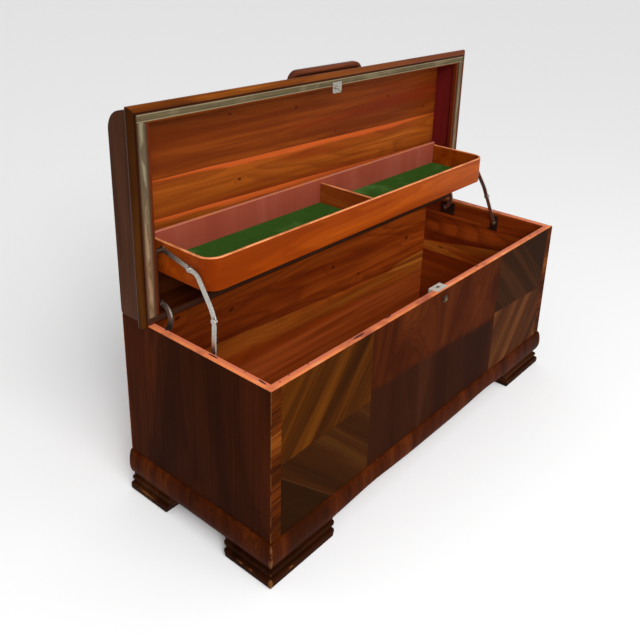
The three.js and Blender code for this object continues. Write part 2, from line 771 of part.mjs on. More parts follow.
// The lower stay leans out from the knee to the body's end. This is that lean, seen from the front.
function crank(side) {
  const low = stayPivot[1] - 2 * eyeRadius;
  const footTop = stayPivot[1] + eyeRadius;
  const kneeBottom = kneeJoint[1] - eyeRadius;
  const high = kneeJoint[1] + 2 * eyeRadius;
  const at = (inwards, z) => [side * (innerHalf - inwards), z];
  const [footNear, footFar] = stayFootLayer;
  const [kneeNear, kneeFar] = kneeLayer;
  return outline([
    at(footNear, low),
    at(footNear, footTop),
    at(kneeNear, kneeBottom),
    at(kneeNear, high),
    at(kneeFar, high),
    at(kneeFar, kneeBottom),
    at(footFar, footTop),
    at(footFar, low),
  ]);
}

function lowerStay(side) {
  const wide = layer(side, 0, trayEndGap);
  const strip = pushed("x", strapShape([stayPivot, kneeJoint], strapWidth), ...wide);
  const eyes = [stayPivot, kneeJoint].map((at) => disc("x", at, eyeRadius, ...wide));
  const lean = pushed("y", crank(side), faceY, halfDepth);
  const bar = surface(solid(joined(strip, ...eyes)).intersect(solid(lean)));
  const knee = rivet(side, kneeJoint, kneeLayer[0] + strap / 2, upperLayer[1] + fitGap);
  const hole = disc("x", stayPivot, pinRadius + fitGap, ...layer(side, 0, stayFootLayer[1] + strap));
  return cut(joined(bar, ...knee), hole);
}

// Folding stays between the tray and the body. The upper bar's hole at the tray is wide, for its play.
const stayShares = [[0.22, 0.01], [0.37, 0.1], [0.51, 0.27], [0.69, 0.5], [0.87, 0.74]];

function addStays(chest) {
  const bends = stayShares.map((shares) => between(trayJoint, kneeJoint, shares));
  const centre = smooth([trayJoint, ...bends, kneeJoint], roundSteps);
  for (const [name, side] of Object.entries(sides)) {
    const inner = layer(side, ...upperLayer);
    const wide = layer(side, 0, upperLayer[1] + wall);
    chest.add(piece(`stay_lower_${name}`, lowerStay(side), "steel"));
    const upper = pushed("x", strapShape(centre, strapWidth), ...inner);
    const eyes = [trayJoint, kneeJoint].map((at) => disc("x", at, eyeRadius, ...inner));
    const trayHole = disc("x", trayJoint, pinRadius + play + fitGap, ...wide);
    const kneeHole = disc("x", kneeJoint, pinRadius + fitGap, ...wide);
    const bar = cut(joined(upper, ...eyes), trayHole, kneeHole);
    chest.add(piece(`stay_upper_${name}`, bar, "steel"));
  }
}

// Tray: a bent wall closed by a higher back, with a floor, a divider and two felt pads
function trayPlan(inset) {
  const x = trayHalfLength - inset;
  const y = trayFront + inset;
  const radius = trayCorner - inset;
  return [
    ...arc([radius - x, y + radius], radius, radius, 180, 270),
    ...arc([x - radius, y + radius], radius, radius, 270, 360),
  ];
}

function addTray(chest) {
  const backFace = trayBack - trayBackWall;
  const outer = trayPlan(0);
  const inner = trayPlan(trayWall).reverse();
  const x = trayHalfLength;
  const openEnds = [[x, backFace], [x - trayWall, backFace]];
  const rim = outline([[-x, backFace], ...outer, ...openEnds, ...inner, [trayWall - x, backFace]]);
  chest.add(piece("tray_rim", pushed("z", rim, trayBottom, trayTop), "trayWood"));
  const back = box([-x, backFace, trayBottom], [x, trayBack, trayTop + trayBackRise]);
  chest.add(piece("tray_back", back, "trayRose"));
  const floorLow = trayBottom + trayFloorLift;
  const floorTop = floorLow + trayFloor;
  const plan = trayPlan(trayWall + fitGap);
  const floorX = x - trayWall - fitGap;
  const board = outline([[-floorX, backFace], ...plan, [floorX, backFace]]);
  chest.add(piece("tray_bottom", pushed("z", board, floorLow, floorTop), "trayWood"));
  const half = trayDivider / 2;
  const inside = trayFront + trayWall;
  const divider = box([-half, inside, floorTop], [half, backFace, trayTop - dividerDrop]);
  chest.add(piece("tray_divider", divider, "trayWood"));
  const pad = outline([
    [-floorX + runGap, backFace - runGap],
    ...trayPlan(trayWall + fitGap + runGap).slice(0, arcSteps + 1),
    [-half - runGap, trayFront + trayWall + fitGap + runGap],
    [-half - runGap, backFace - runGap],
  ]);
  const left = pushed("z", pad, floorTop, floorTop + felt);
  chest.add(piece("tray_felt_left", left, "felt"));
  const right = left.clone().scale(-1, 1, 1);
  chest.add(piece("tray_felt_right", turnedOut(right), "felt"));
}

// Carrying bars: each lies along the tray's end and runs from the lid's pivot to the stay
function addTrayBars(chest) {
  for (const [name, side] of Object.entries(sides)) {
    const across = layer(side, ...barLayer);
    const bar = pushed("x", strapShape([trayJoint, trayPivot], strapWidth), ...across);
    const eyes = [trayJoint, trayPivot].map((at) => disc("x", at, eyeRadius, ...across));
    const pin = rivet(side, trayJoint, barLayer[0] + strap / 2, upperLayer[0] - fitGap);
    const through = layer(side, 0, innerHalf - trayHalfLength + wall);
    const hole = disc("x", trayPivot, pinRadius + fitGap, ...through);
    chest.add(piece(`tray_bar_${name}`, cut(joined(bar, ...eyes, ...pin), hole), "steel"));
  }
}

const chest = new THREE.Group();
addBody(chest);
addFrontVeneers(chest);
addRails(chest);
addFeet(chest);
addLock(chest);
addLid(chest);
addPlates(chest);
addArms(chest);
addStays(chest);
addTray(chest);
addTrayBars(chest);
chest.position.y = bulge / 2;

export default chest;
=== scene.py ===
# Looks of a blanket chest whose lid stands open over its risen tray.
# Metres, +Z up, front towards -Y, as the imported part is.
import json
import math

import bpy
from mathutils import Matrix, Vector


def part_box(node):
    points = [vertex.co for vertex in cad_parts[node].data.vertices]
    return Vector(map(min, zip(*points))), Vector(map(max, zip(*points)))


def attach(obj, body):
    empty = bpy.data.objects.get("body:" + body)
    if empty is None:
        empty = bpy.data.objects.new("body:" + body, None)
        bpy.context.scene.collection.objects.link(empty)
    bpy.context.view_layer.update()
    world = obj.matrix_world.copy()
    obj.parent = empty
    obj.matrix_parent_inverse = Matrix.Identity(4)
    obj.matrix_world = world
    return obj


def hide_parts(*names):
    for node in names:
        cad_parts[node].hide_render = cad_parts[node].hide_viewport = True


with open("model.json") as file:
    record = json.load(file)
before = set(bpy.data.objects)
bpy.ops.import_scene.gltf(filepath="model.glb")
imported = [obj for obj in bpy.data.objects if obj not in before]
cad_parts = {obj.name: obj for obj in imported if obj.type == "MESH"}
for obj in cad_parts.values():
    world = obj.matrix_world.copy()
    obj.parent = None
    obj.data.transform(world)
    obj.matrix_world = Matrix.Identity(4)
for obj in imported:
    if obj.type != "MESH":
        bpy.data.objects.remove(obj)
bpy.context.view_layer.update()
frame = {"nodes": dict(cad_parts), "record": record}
nodes = frame["nodes"]
bodies = frame["record"]["behaviour"]["bodies"]
body_of = {name: body for body, members in bodies.items() for name in members}

# Places on the chest that the finishes and the small pieces follow.
# The part stands SHIFT behind the middle of its drawing.
SHIFT = 0.00425
HALF_LENGTH = 0.600
HALF_DEPTH = 0.230
WALL = 0.020
INNER_HALF = HALF_LENGTH - WALL
INNER_DEPTH = HALF_DEPTH - WALL
FRONT = SHIFT - HALF_DEPTH
BODY_TOP = 0.472
COLLAR_FACE = -0.2220
RIM = 0.135 + SHIFT
BATTEN = RIM + 0.009
MOULDING_STEP = 0.6035
MOULDING_UNDER = 0.9360
FRONT_SEAL_LOW = 0.9159
SEAL_INNER = 0.5768
SEAL_RIDGE = SEAL_INNER + 0.0130
TRAY_TOP = 0.653
TRAY_BACK_TOP = 0.661
DIVIDER_TOP = 0.650
PLATE_FACE = INNER_HALF - 0.0022
HINGE_FACE = INNER_HALF - 0.0125
ARM_HEAD = INNER_HALF - 0.0219
FOOT_HEAD = INNER_HALF - 0.0076
SIDES = (("left", -1), ("right", 1))

# Joints between the lid's boards: height, slope, depth of the sapwood, ends of its swell
LID_JOINTS = ((0.7555, -0.016, 0.026, -0.60, 0.64), (0.6625, -0.022, 0.028, -0.75, 0.66))
# Sapwood of the body's walls: the axis that it runs along, height, slope and depth
WALL_SAPWOOD = (0, 0.266, -0.055, 0.066)
END_SAPWOOD = (1, 0.330, -0.14, 0.036)
# Seams between the two leaves of a front field: height and slope
GOLD_SEAM = (0.303, 0.03)
RED_SEAM = (0.305, -0.055)
BROWN_SEAM = (0.3135, -0.058)

# Turns that lay a figure's grain along X
LEVEL = (0, 0, 0)
UP = (0, math.radians(90), 0)
BACKWARDS = (0, 0, math.radians(-90))
# How far the fine lines on drawn steel are stretched
DRAWN = (0.2, 1.0, 1.0)


def tone(code):
    """A colour from its six hex digits, as the linear values that shaders take"""
    values = [int(code[i : i + 2], 16) / 255 for i in (0, 2, 4)]
    linear = [v / 12.92 if v <= 0.04045 else ((v + 0.055) / 1.055) ** 2.4 for v in values]
    return (*linear, 1.0)


class Tree:
    """Short ways to add shader nodes to one tree and to join their sockets"""

    def __init__(self, tree):
        self.tree = tree

    def add(self, kind, inputs=None, **settings):
        made = self.tree.nodes.new("ShaderNode" + kind)
        for name, value in settings.items():
            setattr(made, name, value)
        for key, value in (inputs or {}).items():
            self.feed(made.inputs[key], value)
        return made

    def feed(self, socket, value):
        """Links a socket, or sets it to a number, a vector or a colour's six hex digits"""
        if isinstance(value, bpy.types.NodeSocket):
            self.tree.links.new(value, socket)
        else:
            socket.default_value = tone(value) if isinstance(value, str) else value

    def calc(self, operation, *values):
        made = self.add("Math", operation=operation)
        for socket, value in zip(made.inputs, values):
            self.feed(socket, value)
        return made.outputs[0]

    def times(self, first, second):
        return self.calc("MULTIPLY", first, second)

    def plus(self, first, second):
        return self.calc("ADD", first, second)

    def minus(self, first, second):
        return self.calc("SUBTRACT", first, second)

    def gap(self, first, second):
        """How far apart two values are"""
        return self.calc("ABSOLUTE", self.minus(first, second))

    def vector(self, operation, *values):
        made = self.add("VectorMath", operation=operation)
        for socket, value in zip(made.inputs, values):
            self.feed(socket, value)
        return made.outputs[0]

    def blend(self, share, first, second):
        made = self.add("Mix", data_type="RGBA")
        self.feed(made.inputs[0], share)
        self.feed(made.inputs[6], first)
        self.feed(made.inputs[7], second)
        return made.outputs[2]

    def ramp(self, share, stops):
        made = self.add("ValToRGB", {"Fac": share})
        made.color_ramp.interpolation = "EASE"
        while len(made.color_ramp.elements) < len(stops):
            made.color_ramp.elements.new(0.5)
        for element, (place, colour) in zip(made.color_ramp.elements, stops):
            element.position = place
            element.color = tone(colour)
        return made.outputs["Color"]

    def span(self, value, low, high, to_low=0.0, to_high=1.0):
        made = self.add("MapRange", interpolation_type="SMOOTHSTEP")
        for key, given in zip(range(5), (value, low, high, to_low, to_high)):
            self.feed(made.inputs[key], given)
        return made.outputs[0]

    def noise(self, vector, scale=1.0, detail=3.0, roughness=0.5, distortion=0.0):
        inputs = {"Vector": vector, "Scale": scale, "Detail": detail}
        inputs.update({"Roughness": roughness, "Distortion": distortion})
        return self.add("TexNoise", inputs).outputs["Fac"]

    def axes(self, vector):
        made = self.add("SeparateXYZ", {"Vector": vector})
        return made.outputs["X"], made.outputs["Y"], made.outputs["Z"]

    def place(self):
        return self.add("TexCoord").outputs["Object"]

    def turned(self, vector, rotation=(0, 0, 0), location=(0, 0, 0), scale=(1, 1, 1)):
        inputs = {"Vector": vector, "Location": location, "Rotation": rotation, "Scale": scale}
        return self.add("Mapping", inputs).outputs["Vector"]

    def use(self, group, inputs):
        made = self.add("Group")
        made.node_tree = group
        for key, value in inputs.items():
            self.feed(made.inputs[key], value)
        return made.outputs


FLOAT = "NodeSocketFloat"
VECTOR = "NodeSocketVector"


def shader_group(name, inputs, outputs):
    """An empty shader group with its named sockets, its inner tree and its two end nodes"""
    group = bpy.data.node_groups.new(name, "ShaderNodeTree")
    group.interface.new_socket("Vector", in_out="INPUT", socket_type=VECTOR)
    for label, value in inputs.items():
        socket = group.interface.new_socket(label, in_out="INPUT", socket_type=FLOAT)
        socket.default_value = value
    for label in outputs:
        group.interface.new_socket(label, in_out="OUTPUT", socket_type=FLOAT)
    start = group.nodes.new("NodeGroupInput")
    end = group.nodes.new("NodeGroupOutput")
    return group, Tree(group), start.outputs, end.inputs


def growth_group():
    """Growth rings, broad figure, fibres and pores of wood whose grain runs along X"""
    inputs = {"Scale": 8.0, "Stretch": 7.0, "Rings": 7.0, "Wander": 0.4, "Pull": 0.0}
    outputs = ["Broad", "Rings", "Fibre", "Pores"]
    group, t, given, out = shader_group("growth figure", inputs, outputs)
    along = t.calc("DIVIDE", given["Scale"], given["Stretch"])
    across = given["Scale"]
    sized = t.add("CombineXYZ", {"X": along, "Y": across, "Z": across}).outputs[0]
    spread = t.vector("MULTIPLY", given["Vector"], sized)
    broad = t.add("TexNoise", {"Vector": spread, "Scale": 1.0, "Detail": 2.0, "Roughness": 0.45})
    t.feed(broad.inputs["Distortion"], given["Wander"])
    pulled = t.plus(broad.outputs["Fac"], given["Pull"])
    phase = t.calc("FRACT", t.times(pulled, given["Rings"]))
    rise = t.calc("DIVIDE", phase, 0.8)
    fall = t.calc("DIVIDE", t.minus(1.0, phase), 0.2)
    fine = t.vector("MULTIPLY", spread, (2.0, 34.0, 34.0))
    dashes = t.vector("MULTIPLY", spread, (14.0, 90.0, 90.0))
    t.feed(out["Broad"], pulled)
    t.feed(out["Rings"], t.calc("MINIMUM", rise, fall))
    t.feed(out["Fibre"], t.noise(fine, 1.0, 4.0, 0.6))
    t.feed(out["Pores"], t.span(t.noise(dashes, 1.0, 2.0, 0.5), 0.56, 0.72))
    return group


def knot_group():
    """Scattered knots: their dark hearts, and how far they push the growth rings aside"""
    group, t, given, out = shader_group("knots", {"Spacing": 0.14, "Size": 0.09}, ["Heart", "Pull"])
    x, y, z = t.axes(given["Vector"])
    parts = {"X": t.times(x, 0.62), "Y": t.plus(y, z)}
    even = t.add("CombineXYZ", parts).outputs[0]
    warp = t.add("TexNoise", {"Vector": given["Vector"], "Scale": 30.0, "Detail": 2.0})
    shift = t.vector("MULTIPLY", warp.outputs["Color"], (0.012, 0.012, 0.012))
    shaken = t.vector("ADD", even, shift)
    spacing = t.add("CombineXYZ", {axis: given["Spacing"] for axis in "XYZ"})
    scaled = t.vector("DIVIDE", shaken, spacing.outputs[0])
    values = {"Vector": scaled, "Scale": 1.0, "Randomness": 1.0}
    seen = t.add("TexVoronoi", values, voronoi_dimensions="2D")
    cell = seen.outputs["Distance"]
    core = t.times(given["Size"], 0.4)
    chance = t.span(t.axes(seen.outputs["Color"])[0], 0.4, 0.42)
    t.feed(out["Heart"], t.times(t.span(cell, given["Size"], core), chance))
    falloff = t.times(t.span(cell, t.times(given["Size"], 4.5), 0.0), chance)
    t.feed(out["Pull"], t.times(t.calc("POWER", falloff, 2.0), 0.2))
    return group


def finish_group():
    """Uneven gloss of an old hand-rubbed finish, with small dents and raised fibres"""
    inputs = {"Shine": 0.3, "Spread": 0.14, "Fibre": 0.5}
    group, t, given, out = shader_group("old finish", inputs, ["Roughness", "Height"])
    smudge = t.noise(given["Vector"], 7.0, 5.0, 0.62, 0.4)
    small = t.noise(given["Vector"], 46.0, 4.0, 0.55)
    dents = t.span(t.noise(given["Vector"], 21.0, 1.0, 0.3), 0.70, 0.78)
    uneven = t.plus(t.times(smudge, 0.7), t.times(small, 0.3))
    t.feed(out["Roughness"], t.calc("MULTIPLY_ADD", uneven, given["Spread"], given["Shine"]))
    ripple = t.calc("MULTIPLY_ADD", small, 0.25, t.times(given["Fibre"], 0.5))
    t.feed(out["Height"], t.minus(ripple, dents))
    return group


def wear_and_highlight_group():
    """Rubbed patches and painted highlight: where a place nears an edge, broken up by noise"""
    group, t, given, out = shader_group("rubbed and highlit edges", {"Edge": 0.0, "Amount": 0.5}, ["Worn"])
    patch = t.noise(given["Vector"], 26.0, 5.0, 0.65)
    limit = t.minus(1.0, given["Amount"])
    low = t.times(limit, 0.62)
    high = t.times(limit, 0.78)
    t.feed(out["Worn"], t.span(t.times(patch, given["Edge"]), low, high))
    return group


growth = growth_group()
knots = knot_group()
old_finish = finish_group()
# Lighter edges from this group are rubbed wood and painted highlight
rubbed = wear_and_highlight_group()


def new_material(name, **fixed):
    """A material with its shader; fixed values go on the shader's own sockets"""
    material = bpy.data.materials.new(name)
    material.use_nodes = True
    shader = material.node_tree.nodes["Principled BSDF"]
    for key, value in fixed.items():
        shader.inputs[key.replace("_", " ")].default_value = value
    return material, Tree(material.node_tree), shader


def gloss(shader, level, tint="ff9a60"):
    """How much the finish mirrors, and the amber that old varnish lends to it"""
    shader.inputs["Specular IOR Level"].default_value = level
    shader.inputs["Specular Tint"].default_value = tone(tint)


def varnished(t, shader, place, colour, fibre, shine, spread, level, strength):
    """Joins a wood's colour to its shader under an old, uneven finish"""
    worn = t.use(old_finish, {"Vector": place, "Shine": shine, "Spread": spread, "Fibre": fibre})
    t.feed(shader.inputs["Base Color"], colour)
    t.feed(shader.inputs["Roughness"], worn["Roughness"])
    bump = t.add("Bump", {"Height": worn["Height"], "Strength": strength, "Distance": 0.0006})
    t.feed(shader.inputs["Normal"], bump.outputs["Normal"])
    gloss(shader, level)


def board_space(t, vector, width, axis):
    """Shifts the grain from board to board, and gives each board's own tone and its seams"""
    parts = dict(zip("xyz", t.axes(vector)))
    counted = t.calc("DIVIDE", parts[axis], width)
    white = t.add("TexWhiteNoise", noise_dimensions="1D")
    t.feed(white.inputs["W"], t.calc("FLOOR", counted))
    jump = t.times(white.outputs["Value"], 7.0)
    offset = t.add("CombineXYZ", {"X": jump, "Y": jump, "Z": t.times(jump, 0.37)}).outputs[0]
    edge = t.gap(t.calc("FRACT", counted), 0.5)
    return t.vector("ADD", vector, offset), white.outputs["Value"], t.span(edge, 0.493, 0.498)


def cedar_figure(t, grain, own, stops, knot_size, sap_from=0.62):
    """Red cedar: streaks, crisp sapwood, fine rings and knots, as one colour and its fibres"""
    deep, heart, warm, sap = stops
    knot = t.use(knots, {"Vector": grain, "Spacing": 0.12, "Size": knot_size})
    values = {"Vector": grain, "Scale": 7.0, "Stretch": 6.5, "Rings": 17.0, "Wander": 0.35}
    figure = t.use(growth, {**values, "Pull": knot["Pull"]})
    streak = t.noise(t.turned(grain, scale=(0.9, 19.0, 19.0)), 1.0, 4.0, 0.6, 0.3)
    lifted = t.calc("MULTIPLY_ADD", t.minus(own, 0.5), 0.16, streak)
    colour = t.ramp(lifted, [(0.28, deep), (0.45, heart), (0.62, warm)])
    bands = t.turned(grain, scale=(0.8, 8.0, 8.0), location=(3.1, 5.2, 1.7))
    bright = t.noise(bands, 1.0, 2.0, 0.45, 0.2)
    sapwood = t.span(bright, sap_from, sap_from + 0.035, 0.0, 0.85)
    colour = t.blend(sapwood, colour, sap)
    bands = t.turned(grain, scale=(0.7, 11.0, 11.0), location=(7.7, 0.4, 2.9))
    blush = t.noise(bands, 1.0, 3.0, 0.5, 0.3)
    colour = t.blend(t.span(blush, 0.56, 0.66, 0.0, 0.5), colour, "6a1407")
    colour = t.blend(t.span(figure["Rings"], 0.3, 1.0, 0.0, 0.38), colour, deep)
    colour = t.blend(t.span(figure["Fibre"], 0.4, 0.7, 0.0, 0.34), colour, deep)
    colour = t.blend(t.times(figure["Pores"], 0.16), colour, "2a0d05")
    return t.blend(t.times(knot["Heart"], 0.85), colour, "2c0a04"), figure["Fibre"]


def sapwood_band(t, place, colour, along, level, slope, depth):
    """Golden sapwood under a slanting board joint, with darker heartwood over it"""
    parts = t.axes(place)
    waver = t.times(t.noise(t.turned(place, scale=(1, 1, 0)), 3.0, 2.0), 0.014)
    line = t.plus(t.calc("MULTIPLY_ADD", parts[along], slope, level), waver)
    below = t.minus(line, parts[2])
    streak = t.noise(t.turned(place, scale=(1.5, 1.5, 60.0)), 1.0, 3.0, 0.5)
    share = t.span(streak, 0.3, 0.6, 0.1, 0.6)
    colour = t.blend(t.span(below, 0.0, 0.12, 0.0, 0.4), colour, "964212")
    gold = t.times(t.span(below, -0.001, 0.002), t.span(below, depth, depth * 0.4))
    dark = t.times(t.span(below, 0.0, -0.002), t.span(below, -0.034, -0.004, 0.0, 0.6))
    colour = t.blend(t.times(gold, share), colour, "a8601f")
    return t.blend(dark, colour, "501206")


def wall_painted_shade_and_light(t, place, colour):
    """The back wall: painted shade high up towards the left, painted light streaked low down"""
    x, y, z = t.axes(place)
    behind = t.span(y, 0.0, 0.1)
    # Painted shade high on the back wall, stronger towards the left
    high = t.times(t.span(z, 0.21, 0.30), t.span(x, 0.5, -0.6, 0.2, 0.62))
    colour = t.blend(t.times(high, behind), colour, "3c1205")
    # Painted light: brighter streaks low on the back wall
    streak = t.noise(t.turned(place, scale=(1.6, 1.0, 46.0)), 1.0, 3.0, 0.55)
    low = t.times(t.span(z, 0.215, 0.17), t.span(streak, 0.35, 0.65, 0.15, 0.8))
    return t.blend(t.times(low, behind), colour, "b85826")


def bare_edge(t, place, colour, fibre):
    """The body's upper edge, left bright, with pink patches and a darker inner corner"""
    x, y, z = t.axes(place)
    patch = t.noise(t.turned(place, scale=(1, 1, 0.1)), 9.0, 5.0, 0.62)
    edge = t.ramp(patch, [(0.34, "a95a42"), (0.52, "e6854f"), (0.7, "f6b184")])
    edge = t.blend(t.span(fibre, 0.4, 0.75, 0.0, 0.35), edge, "a95a42")
    past_end = t.minus(t.calc("ABSOLUTE", x), INNER_HALF)
    past_side = t.minus(t.gap(y, SHIFT), INNER_DEPTH)
    depth = t.calc("MAXIMUM", past_end, past_side)
    pink = t.times(t.span(depth, 0.013, 0.006), t.span(patch, 0.35, 0.6, 0.25, 0.8))
    edge = t.blend(pink, edge, "bd6450")
    edge = t.blend(t.span(depth, 0.0008, 0.0, 0.0, 0.5), edge, "7a3420")
    return t.blend(t.span(z, BODY_TOP - 0.0012, BODY_TOP - 0.0005), colour, edge)


def cedar(name, turn, board, axis, stops, band=None, dress=None):
    """Cedar boards side by side; walls with a band of sapwood end in a bare upper edge"""
    material, t, shader = new_material(name)
    place = t.place()
    shifted, own, seam = board_space(t, place, board, axis)
    grain = t.turned(shifted, turn)
    colour, fibre = cedar_figure(t, grain, own, stops, knot_size=0.055)
    colour = t.blend(t.times(seam, 0.7), colour, "1d0904")
    if band:
        colour = sapwood_band(t, place, colour, *band)
    if dress:
        colour = dress(t, place, colour)
    if band:
        colour = bare_edge(t, place, colour, fibre)
    varnished(t, shader, grain, colour, fibre, shine=0.42, spread=0.2, level=0.08, strength=0.35)
    return material


def lid_boards(name):
    """Three cedar boards inside the lid, with bright sapwood along their two slanting joints"""
    material, t, shader = new_material(name)
    place = t.place()
    x, _, z = t.axes(place)
    drift = t.noise(t.turned(place, scale=(1.7, 0, 0)), 1.0, 2.0)
    bend = t.times(t.minus(drift, 0.5), 0.016)
    lines = [
        t.plus(t.calc("MULTIPLY_ADD", x, slope, height), bend)
        for height, slope, *_ in LID_JOINTS
    ]
    above_upper, above_lower = [t.span(t.minus(z, line), -0.0006, 0.0006) for line in lines]
    jump = t.times(t.plus(above_upper, above_lower), 2.7)
    offset = t.add("CombineXYZ", {"X": jump, "Y": jump, "Z": jump}).outputs[0]
    grain = t.vector("ADD", place, offset)
    own = t.calc("MULTIPLY_ADD", above_upper, -1.1, 0.75)
    stops = ("5a2308", "74340c", "8a4411", "9c5018")
    colour, fibre = cedar_figure(t, grain, own, stops, knot_size=0.036, sap_from=0.7)
    waver = t.noise(t.turned(place, scale=(4.0, 0, 0)), 1.0, 3.0, 0.5)
    for line, (_, _, wide, start, end) in zip(lines, LID_JOINTS):
        below = t.minus(line, z)
        swell = t.times(t.span(x, start, -0.15), t.span(x, end, 0.2))
        reach = t.times(t.times(waver, swell), wide)
        near = t.span(t.minus(below, reach), 0.006, -0.003)
        inside = t.times(t.span(below, -0.0004, 0.0006), near)
        glow = t.blend(t.span(fibre, 0.4, 0.75, 0.0, 0.5), "bc5222", "8c3c12")
        colour = t.blend(t.times(inside, 0.7), colour, glow)
        joint = t.span(t.calc("ABSOLUTE", below), 0.0009, 0.0003, 0.0, 0.6)
        colour = t.blend(joint, colour, "2a1006")
    # Painted shade: the upper board darkens towards the rim, more on the left
    shade = t.times(t.span(z, 0.84, 0.93), t.span(x, 0.35, -0.5))
    colour = t.blend(t.times(shade, 0.45), colour, "4a2109")
    # Painted shadow: the boards turn near black low down, under the tray
    colour = t.blend(t.span(z, 0.605, 0.530, 0.0, 0.8), colour, "1c0803")
    varnished(t, shader, grain, colour, fibre, shine=0.42, spread=0.2, level=0.08, strength=0.3)
    return material


def veneer(name, tones, dark, level, turn=LEVEL, scale=16.0, stretch=12.0, rings=9.0, wander=0.4,
           lines=0.3, shine=0.24, cloud=0.6, dress=None, bent=False):
    """Polished wood in three tones, dark to light; a bent sheet's figure is laid flat first"""
    material, t, shader = new_material(name)
    place = t.place()
    if bent:
        x, y, z = t.axes(place)
        place = t.add("CombineXYZ", {"X": x, "Z": t.minus(z, y)}).outputs[0]
    grain = t.turned(place, turn)
    values = {"Scale": scale, "Stretch": stretch, "Rings": rings, "Wander": wander}
    figure = t.use(growth, {"Vector": grain, **values})
    slow = t.noise(t.turned(grain, scale=(0.5, 1.6, 1.6)), 3.1, 3.0, 0.5, 0.4)
    share = t.calc("MULTIPLY_ADD", t.minus(slow, 0.5), cloud, figure["Broad"])
    colour = t.ramp(share, list(zip((0.3, 0.5, 0.72), tones)))
    colour = t.blend(t.span(figure["Rings"], 0.3, 1.0, 0.0, lines), colour, dark)
    colour = t.blend(t.span(figure["Fibre"], 0.36, 0.74, 0.0, 0.5), colour, dark)
    colour = t.blend(t.times(figure["Pores"], 0.35), colour, "120703")
    if dress:
        colour = dress(t, place, colour)
    fibre = figure["Fibre"]
    varnished(t, shader, place, colour, fibre, shine, spread=0.16, level=level, strength=0.16)
    return material


FRONT_FINISH = {"shine": 0.3, "spread": 0.16, "level": 0.005, "strength": 0.14}


def slanting_leaf(t, place, angle, stops, wide, start):
    """One matched leaf of a field: soft bands with fine lines, slanting in the front's plane"""
    grain = t.turned(place, (0, math.radians(angle), 0), (start, start, start))
    bands = t.noise(t.turned(grain, scale=(0.9, 1.0, wide)), 1.0, 3.0, 0.5, 0.15)
    fine = t.noise(t.turned(grain, scale=(3.0, 1.0, wide * 9)), 1.0, 4.0, 0.6, 0.1)
    hair = t.noise(t.turned(grain, scale=(9.0, 1.0, wide * 34)), 1.0, 3.0, 0.6)
    share = t.calc("MULTIPLY_ADD", bands, 0.72, t.times(fine, 0.28))
    colour = t.ramp(share, stops)
    return t.blend(t.span(hair, 0.42, 0.78, 0.0, 0.45), colour, "1a0c04"), hair


def two_leaves(name, upper, lower, seam, corner):
    """A front field of two slanting leaves, one over the other, with a darker corner piece"""
    material, t, shader = new_material(name)
    place = t.place()
    x, _, z = t.axes(place)
    top, hair = slanting_leaf(t, place, *upper)
    low = slanting_leaf(t, place, *lower)[0]
    height, slope = seam
    waver = t.times(t.noise(place, 9.0, 2.0), 0.004)
    line = t.plus(t.calc("MULTIPLY_ADD", x, slope, height), waver)
    above = t.span(t.minus(z, line), -0.001, 0.001)
    colour = t.blend(above, low, top)
    height, way, dark, share = corner
    past = t.minus(z, t.calc("MULTIPLY_ADD", x, -0.9, height))
    colour = t.blend(t.times(t.span(past, 0.0, way * 0.0014), share), colour, dark)
    colour = t.blend(t.span(t.calc("ABSOLUTE", past), 0.0012, 0.0003, 0.0, 0.5), colour, "52311a")
    colour = t.blend(t.span(t.gap(z, line), 0.0012, 0.0004, 0.0, 0.4), colour, "140a05")
    varnished(t, shader, place, colour, hair, **FRONT_FINISH)
    return material


def curly_field(name):
    """The middle field: a curly reddish leaf above, a very dark one below"""
    material, t, shader = new_material(name)
    place = t.place()
    x, _, z = t.axes(place)
    swirl = t.turned(place, (0, math.radians(79), 0))
    values = {"Scale": 7.5, "Stretch": 2.8, "Rings": 17.0, "Wander": 1.3}
    curl = t.use(growth, {"Vector": swirl, **values})
    upright = t.turned(place, UP)
    values = {"Scale": 12.0, "Stretch": 9.0, "Rings": 9.0, "Wander": 0.3}
    plain = t.use(growth, {"Vector": upright, **values})
    red = t.ramp(curl["Broad"], [(0.30, "341103"), (0.5, "431a05"), (0.7, "4e2107")])
    red = t.blend(t.span(curl["Rings"], 0.2, 1.0, 0.0, 0.35), red, "280c03")
    dark = t.ramp(plain["Broad"], [(0.3, "220c04"), (0.55, "2c1206"), (0.75, "381a0a")])
    dark = t.blend(t.times(plain["Rings"], 0.3), dark, "190904")
    soft = t.times(t.minus(t.noise(place, 5.0, 2.0), 0.5), 0.02)
    height, slope = RED_SEAM
    line = t.plus(t.calc("MULTIPLY_ADD", x, slope, height), soft)
    above = t.span(t.minus(z, line), -0.011, 0.011)
    colour = t.blend(above, dark, red)
    colour = t.blend(t.span(plain["Fibre"], 0.35, 0.8, 0.0, 0.4), colour, "180a05")
    varnished(t, shader, place, colour, plain["Fibre"], **FRONT_FINISH)
    return material


